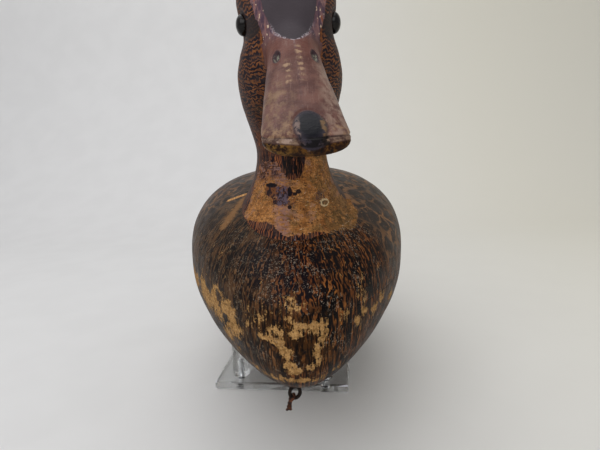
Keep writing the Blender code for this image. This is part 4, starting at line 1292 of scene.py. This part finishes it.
def acrylic(name, box=None):
    """Clear plastic; given a box, its chamfered edges are left sawn and frosted, and whitened in
    lilac as a painted highlight.
    """
    m = Shade(name)
    haze = m.noise(m.mm, 8.0, 3.0, 0.6)
    rough = m.blend(m.step(haze, 0.45, 0.75), 0.015, 0.05)
    clear = (0.97, 0.985, 0.985)
    if box is None:
        return m.done(clear, rough, Transmission_Weight=1.0, IOR=1.49, Alpha=0.78)
    gaps = []
    for axis, value in enumerate(m.split(m.mm)):
        middle = 500.0 * float(box[0][axis] + box[1][axis])
        half = 500.0 * float(box[1][axis] - box[0][axis])
        gaps.append(m.sub(half, m.math("ABSOLUTE", m.sub(value, middle))))
    second = m.low(m.top(gaps[0], gaps[1]), gaps[2])
    second = m.top(second, m.low(gaps[0], gaps[1]))
    # the edge strip: partly frosted sawn acrylic, partly a painted highlight in lilac white,
    # nearly opaque
    frosted_highlight_edge = m.step(second, 1.12, 1.04)
    colour = m.mix(frosted_highlight_edge, clear, (0.93, 0.92, 1.0))
    return m.done(
        colour, m.blend(frosted_highlight_edge, rough, 0.25),
        Transmission_Weight=m.blend(frosted_highlight_edge, 1.0, 0.12), IOR=1.49, Alpha=m.blend(frosted_highlight_edge, 0.78, 1.0),
    )


def silicone():
    m = Shade("silicone")
    haze = m.noise(m.mm, 3.0, 3.0, 0.6)
    rough = m.blend(haze, 0.25, 0.45)
    return m.done((0.90, 0.92, 0.92), rough, Transmission_Weight=0.85, IOR=1.41)


def plain_metal(name, colour, dark, rough_lo, rough_hi, metallic, grain=2.0):
    m = Shade(name)
    tone = m.noise(m.mm, grain, 4.0, 0.6)
    col = m.mix(m.step(tone, 0.35, 0.7), dark, colour)
    rough = m.blend(tone, rough_lo, rough_hi)
    return m.done(col, rough, metallic, m.relief(tone, 0.05))


def screw_steel():
    """Stainless screws, their heads down in the plate painted near-black as painted shade."""
    m = Shade("steel")
    tone = m.noise(m.mm, 2.0, 4.0, 0.6)
    # painted shade: the screws are turned near-black below about 6 mm, down in the plate
    low = m.step(m.split(m.mm)[2], 6.4, 5.4)
    col = m.mix(m.step(tone, 0.35, 0.7), (0.62, 0.62, 0.64), (0.80, 0.80, 0.82))
    col = m.mix(low, col, (0.012, 0.011, 0.016))
    return m.done(col, m.blend(tone, 0.2, 0.4), 1.0, m.relief(tone, 0.05))


def bare_wood():
    m = Shade("bare_wood")
    grain = m.noise(m.mm, (1.0, 1.0, 16.0), 4.0, 0.6)
    col = m.mix(m.step(grain, 0.3, 0.7), BARE_2, BARE)
    return m.done(col, 0.7, normal=m.relief(grain, 0.08))


def dress(ob, mat):
    ob.data.materials.clear()
    ob.data.materials.append(mat)


# ---- make the pieces ----
def make_decoy():
    whole = build_body()
    paint = paint_body()
    for name, above in (("upper_body", True), ("lower_body", False)):
        half = cut_half(whole, name + "_skin", above)
        body_masks(half)
        dress(half, paint)
        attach(half, "decoy")
        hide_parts(name)
    bpy.data.objects.remove(whole)
    head = build_head()
    head_masks(head)
    set_coords(head, head_place(coords(head)))
    dress(head, paint_head())
    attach(head, "decoy")
    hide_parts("head")
    glass = glass_eye()
    for side, label in ((-1, "l"), (1, "r")):
        centre = head_place([(side * EYE_X, EYE_Y, EYE_Z)])[0]
        outward = Vector((side * math.cos(HEAD_TURN), side * math.sin(HEAD_TURN), 0.0))
        turn = Vector((0, 0, 1)).rotation_difference(outward).to_matrix().to_4x4()
        profile = [(0.0, -0.0029), (EYE_R - 0.0006, -0.0029), (EYE_R, -0.0022), (EYE_R, 0.0002)]
        for k in range(1, 20):
            a = 0.5 * math.pi * k / 20
            profile.append((EYE_R * math.cos(a), 0.0002 + 0.0033 * math.sin(a)))
        profile.append((0.0, 0.0035))
        eye = lathe("glass_eye_" + label, profile, 64, Matrix.Translation(centre) @ turn)
        dress(eye, glass)
        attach(eye, "decoy")
        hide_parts("eye_" + label)


def make_stand():
    clear = acrylic("clear_acrylic")
    corners = coords(NODES["stand_plate"])
    plate = acrylic("acrylic_plate", (corners.min(axis=0), corners.max(axis=0)))
    for name, node in NODES.items():
        if name == "stand_plate":
            dress(node, plate)
        elif name.startswith("stand_post"):
            dress(node, clear)
        elif name.startswith("stand_pad"):
            dress(node, PAD)
        elif name.startswith("stand_screw"):
            dress(node, STEEL)


PAD = silicone()
STEEL = screw_steel()
IRON = rusty("iron", srgb(10, 8, 8), srgb(46, 32, 24))
RUSTY = rusty("rusty_wire", srgb(34, 20, 15), srgb(112, 66, 42), 1.2)
LEAD = plain_metal("lead", srgb(120, 120, 124), srgb(80, 80, 84), 0.5, 0.7, 0.9, 4.0)
WOOD = bare_wood()

make_decoy()
make_stand()
for node_name, node in NODES.items():
    if node_name == "line_tie_loop":
        dress(node, RUSTY)
    elif "nail" in node_name or node_name.startswith("eye_wire") or node_name == "line_tie_eye":
        dress(node, IRON)
    elif node_name == "ballast_weight":
        dress(node, LEAD)
    elif node_name == "neck_dowel":
        dress(node, WOOD)


# ---- stage, light and camera ----
def make_stage():
    xs = np.linspace(-2.2, 2.2, 3)
    profile = [(-1.6, 0.0), (0.55, 0.0)]
    for k in range(1, 25):
        a = 0.5 * math.pi * k / 24
        profile.append((0.55 + 0.6 * math.sin(a), 0.6 - 0.6 * math.cos(a)))
    profile.append((1.15, 2.4))
    verts = [(x, y, z - 0.0002) for y, z in profile for x in xs]
    faces = []
    for r in range(len(profile) - 1):
        for c in range(2):
            a = r * 3 + c
            faces.append((a, a + 1, a + 4, a + 3))
    floor = mesh_object("backdrop", verts, faces)
    m = Shade("paper")
    tone = m.noise(m.mm, 60.0, 2.0, 0.5)
    col = m.mix(m.step(tone, 0.3, 0.7), (0.71, 0.705, 0.700), (0.73, 0.725, 0.720))
    # painted warm light: the paper turns yellower towards the right
    warm = m.step(m.split(m.mm)[0], -260.0, 620.0)
    col = m.mix(warm, col, (0.740, 0.716, 0.632))
    dress(floor, m.done(col, 0.85))


def area_light(name, place, target, size, power, colour=(1, 1, 1)):
    data = bpy.data.lights.new(name, "AREA")
    data.shape = "RECTANGLE"
    data.size, data.size_y = size
    data.energy = power
    data.color = colour
    ob = link(name, data)
    ob.location = place
    ob.rotation_euler = (Vector(target) - Vector(place)).to_track_quat("-Z", "Y").to_euler()


def make_light():
    world = bpy.data.worlds.new("studio")
    world.use_nodes = True
    world.node_tree.nodes["Background"].inputs[0].default_value = (0.96, 0.97, 1.0, 1.0)
    world.node_tree.nodes["Background"].inputs[1].default_value = 0.50
    bpy.context.scene.world = world
    area_light("overhead", (-0.25, -0.05, 1.55), (0.0, 0.02, 0.1), (1.7, 1.5), 7.5)
    area_light("front", (-0.40, -1.25, 0.90), (0.0, -0.05, 0.10), (1.5, 0.9), 9.0)
    area_light("wall", (-0.25, 0.40, 1.50), (-0.22, 1.15, 0.55), (0.8, 0.5), 2.0)


SENSOR = 36.0
LENS_SHARE = 451.0 / 600.0  # focal length as a share of the sensor's width
CAMERA_TILT = math.radians(9.5)
CAMERA_ROLL = math.radians(2.2)
CAMERA_PLACE = (0.00306, -0.3775, 0.179)


def make_camera():
    data = bpy.data.cameras.new("camera")
    data.sensor_width = SENSOR
    data.lens = LENS_SHARE * SENSOR
    data.clip_start = 0.01
    camera = link("camera", data)
    tilt, roll = CAMERA_TILT, CAMERA_ROLL
    forward = Vector((0.0, math.cos(tilt), -math.sin(tilt)))
    right = Vector((1.0, 0.0, 0.0))
    up = right.cross(forward)
    right_r = right * math.cos(roll) - up * math.sin(roll)
    up_r = up * math.cos(roll) + right * math.sin(roll)
    spin = Matrix((right_r, up_r, -forward)).transposed().to_4x4()
    camera.matrix_world = Matrix.Translation(CAMERA_PLACE) @ spin
    bpy.context.scene.camera = camera


make_stage()
make_light()
make_camera()
bpy.context.scene.view_settings.view_transform = "Standard"
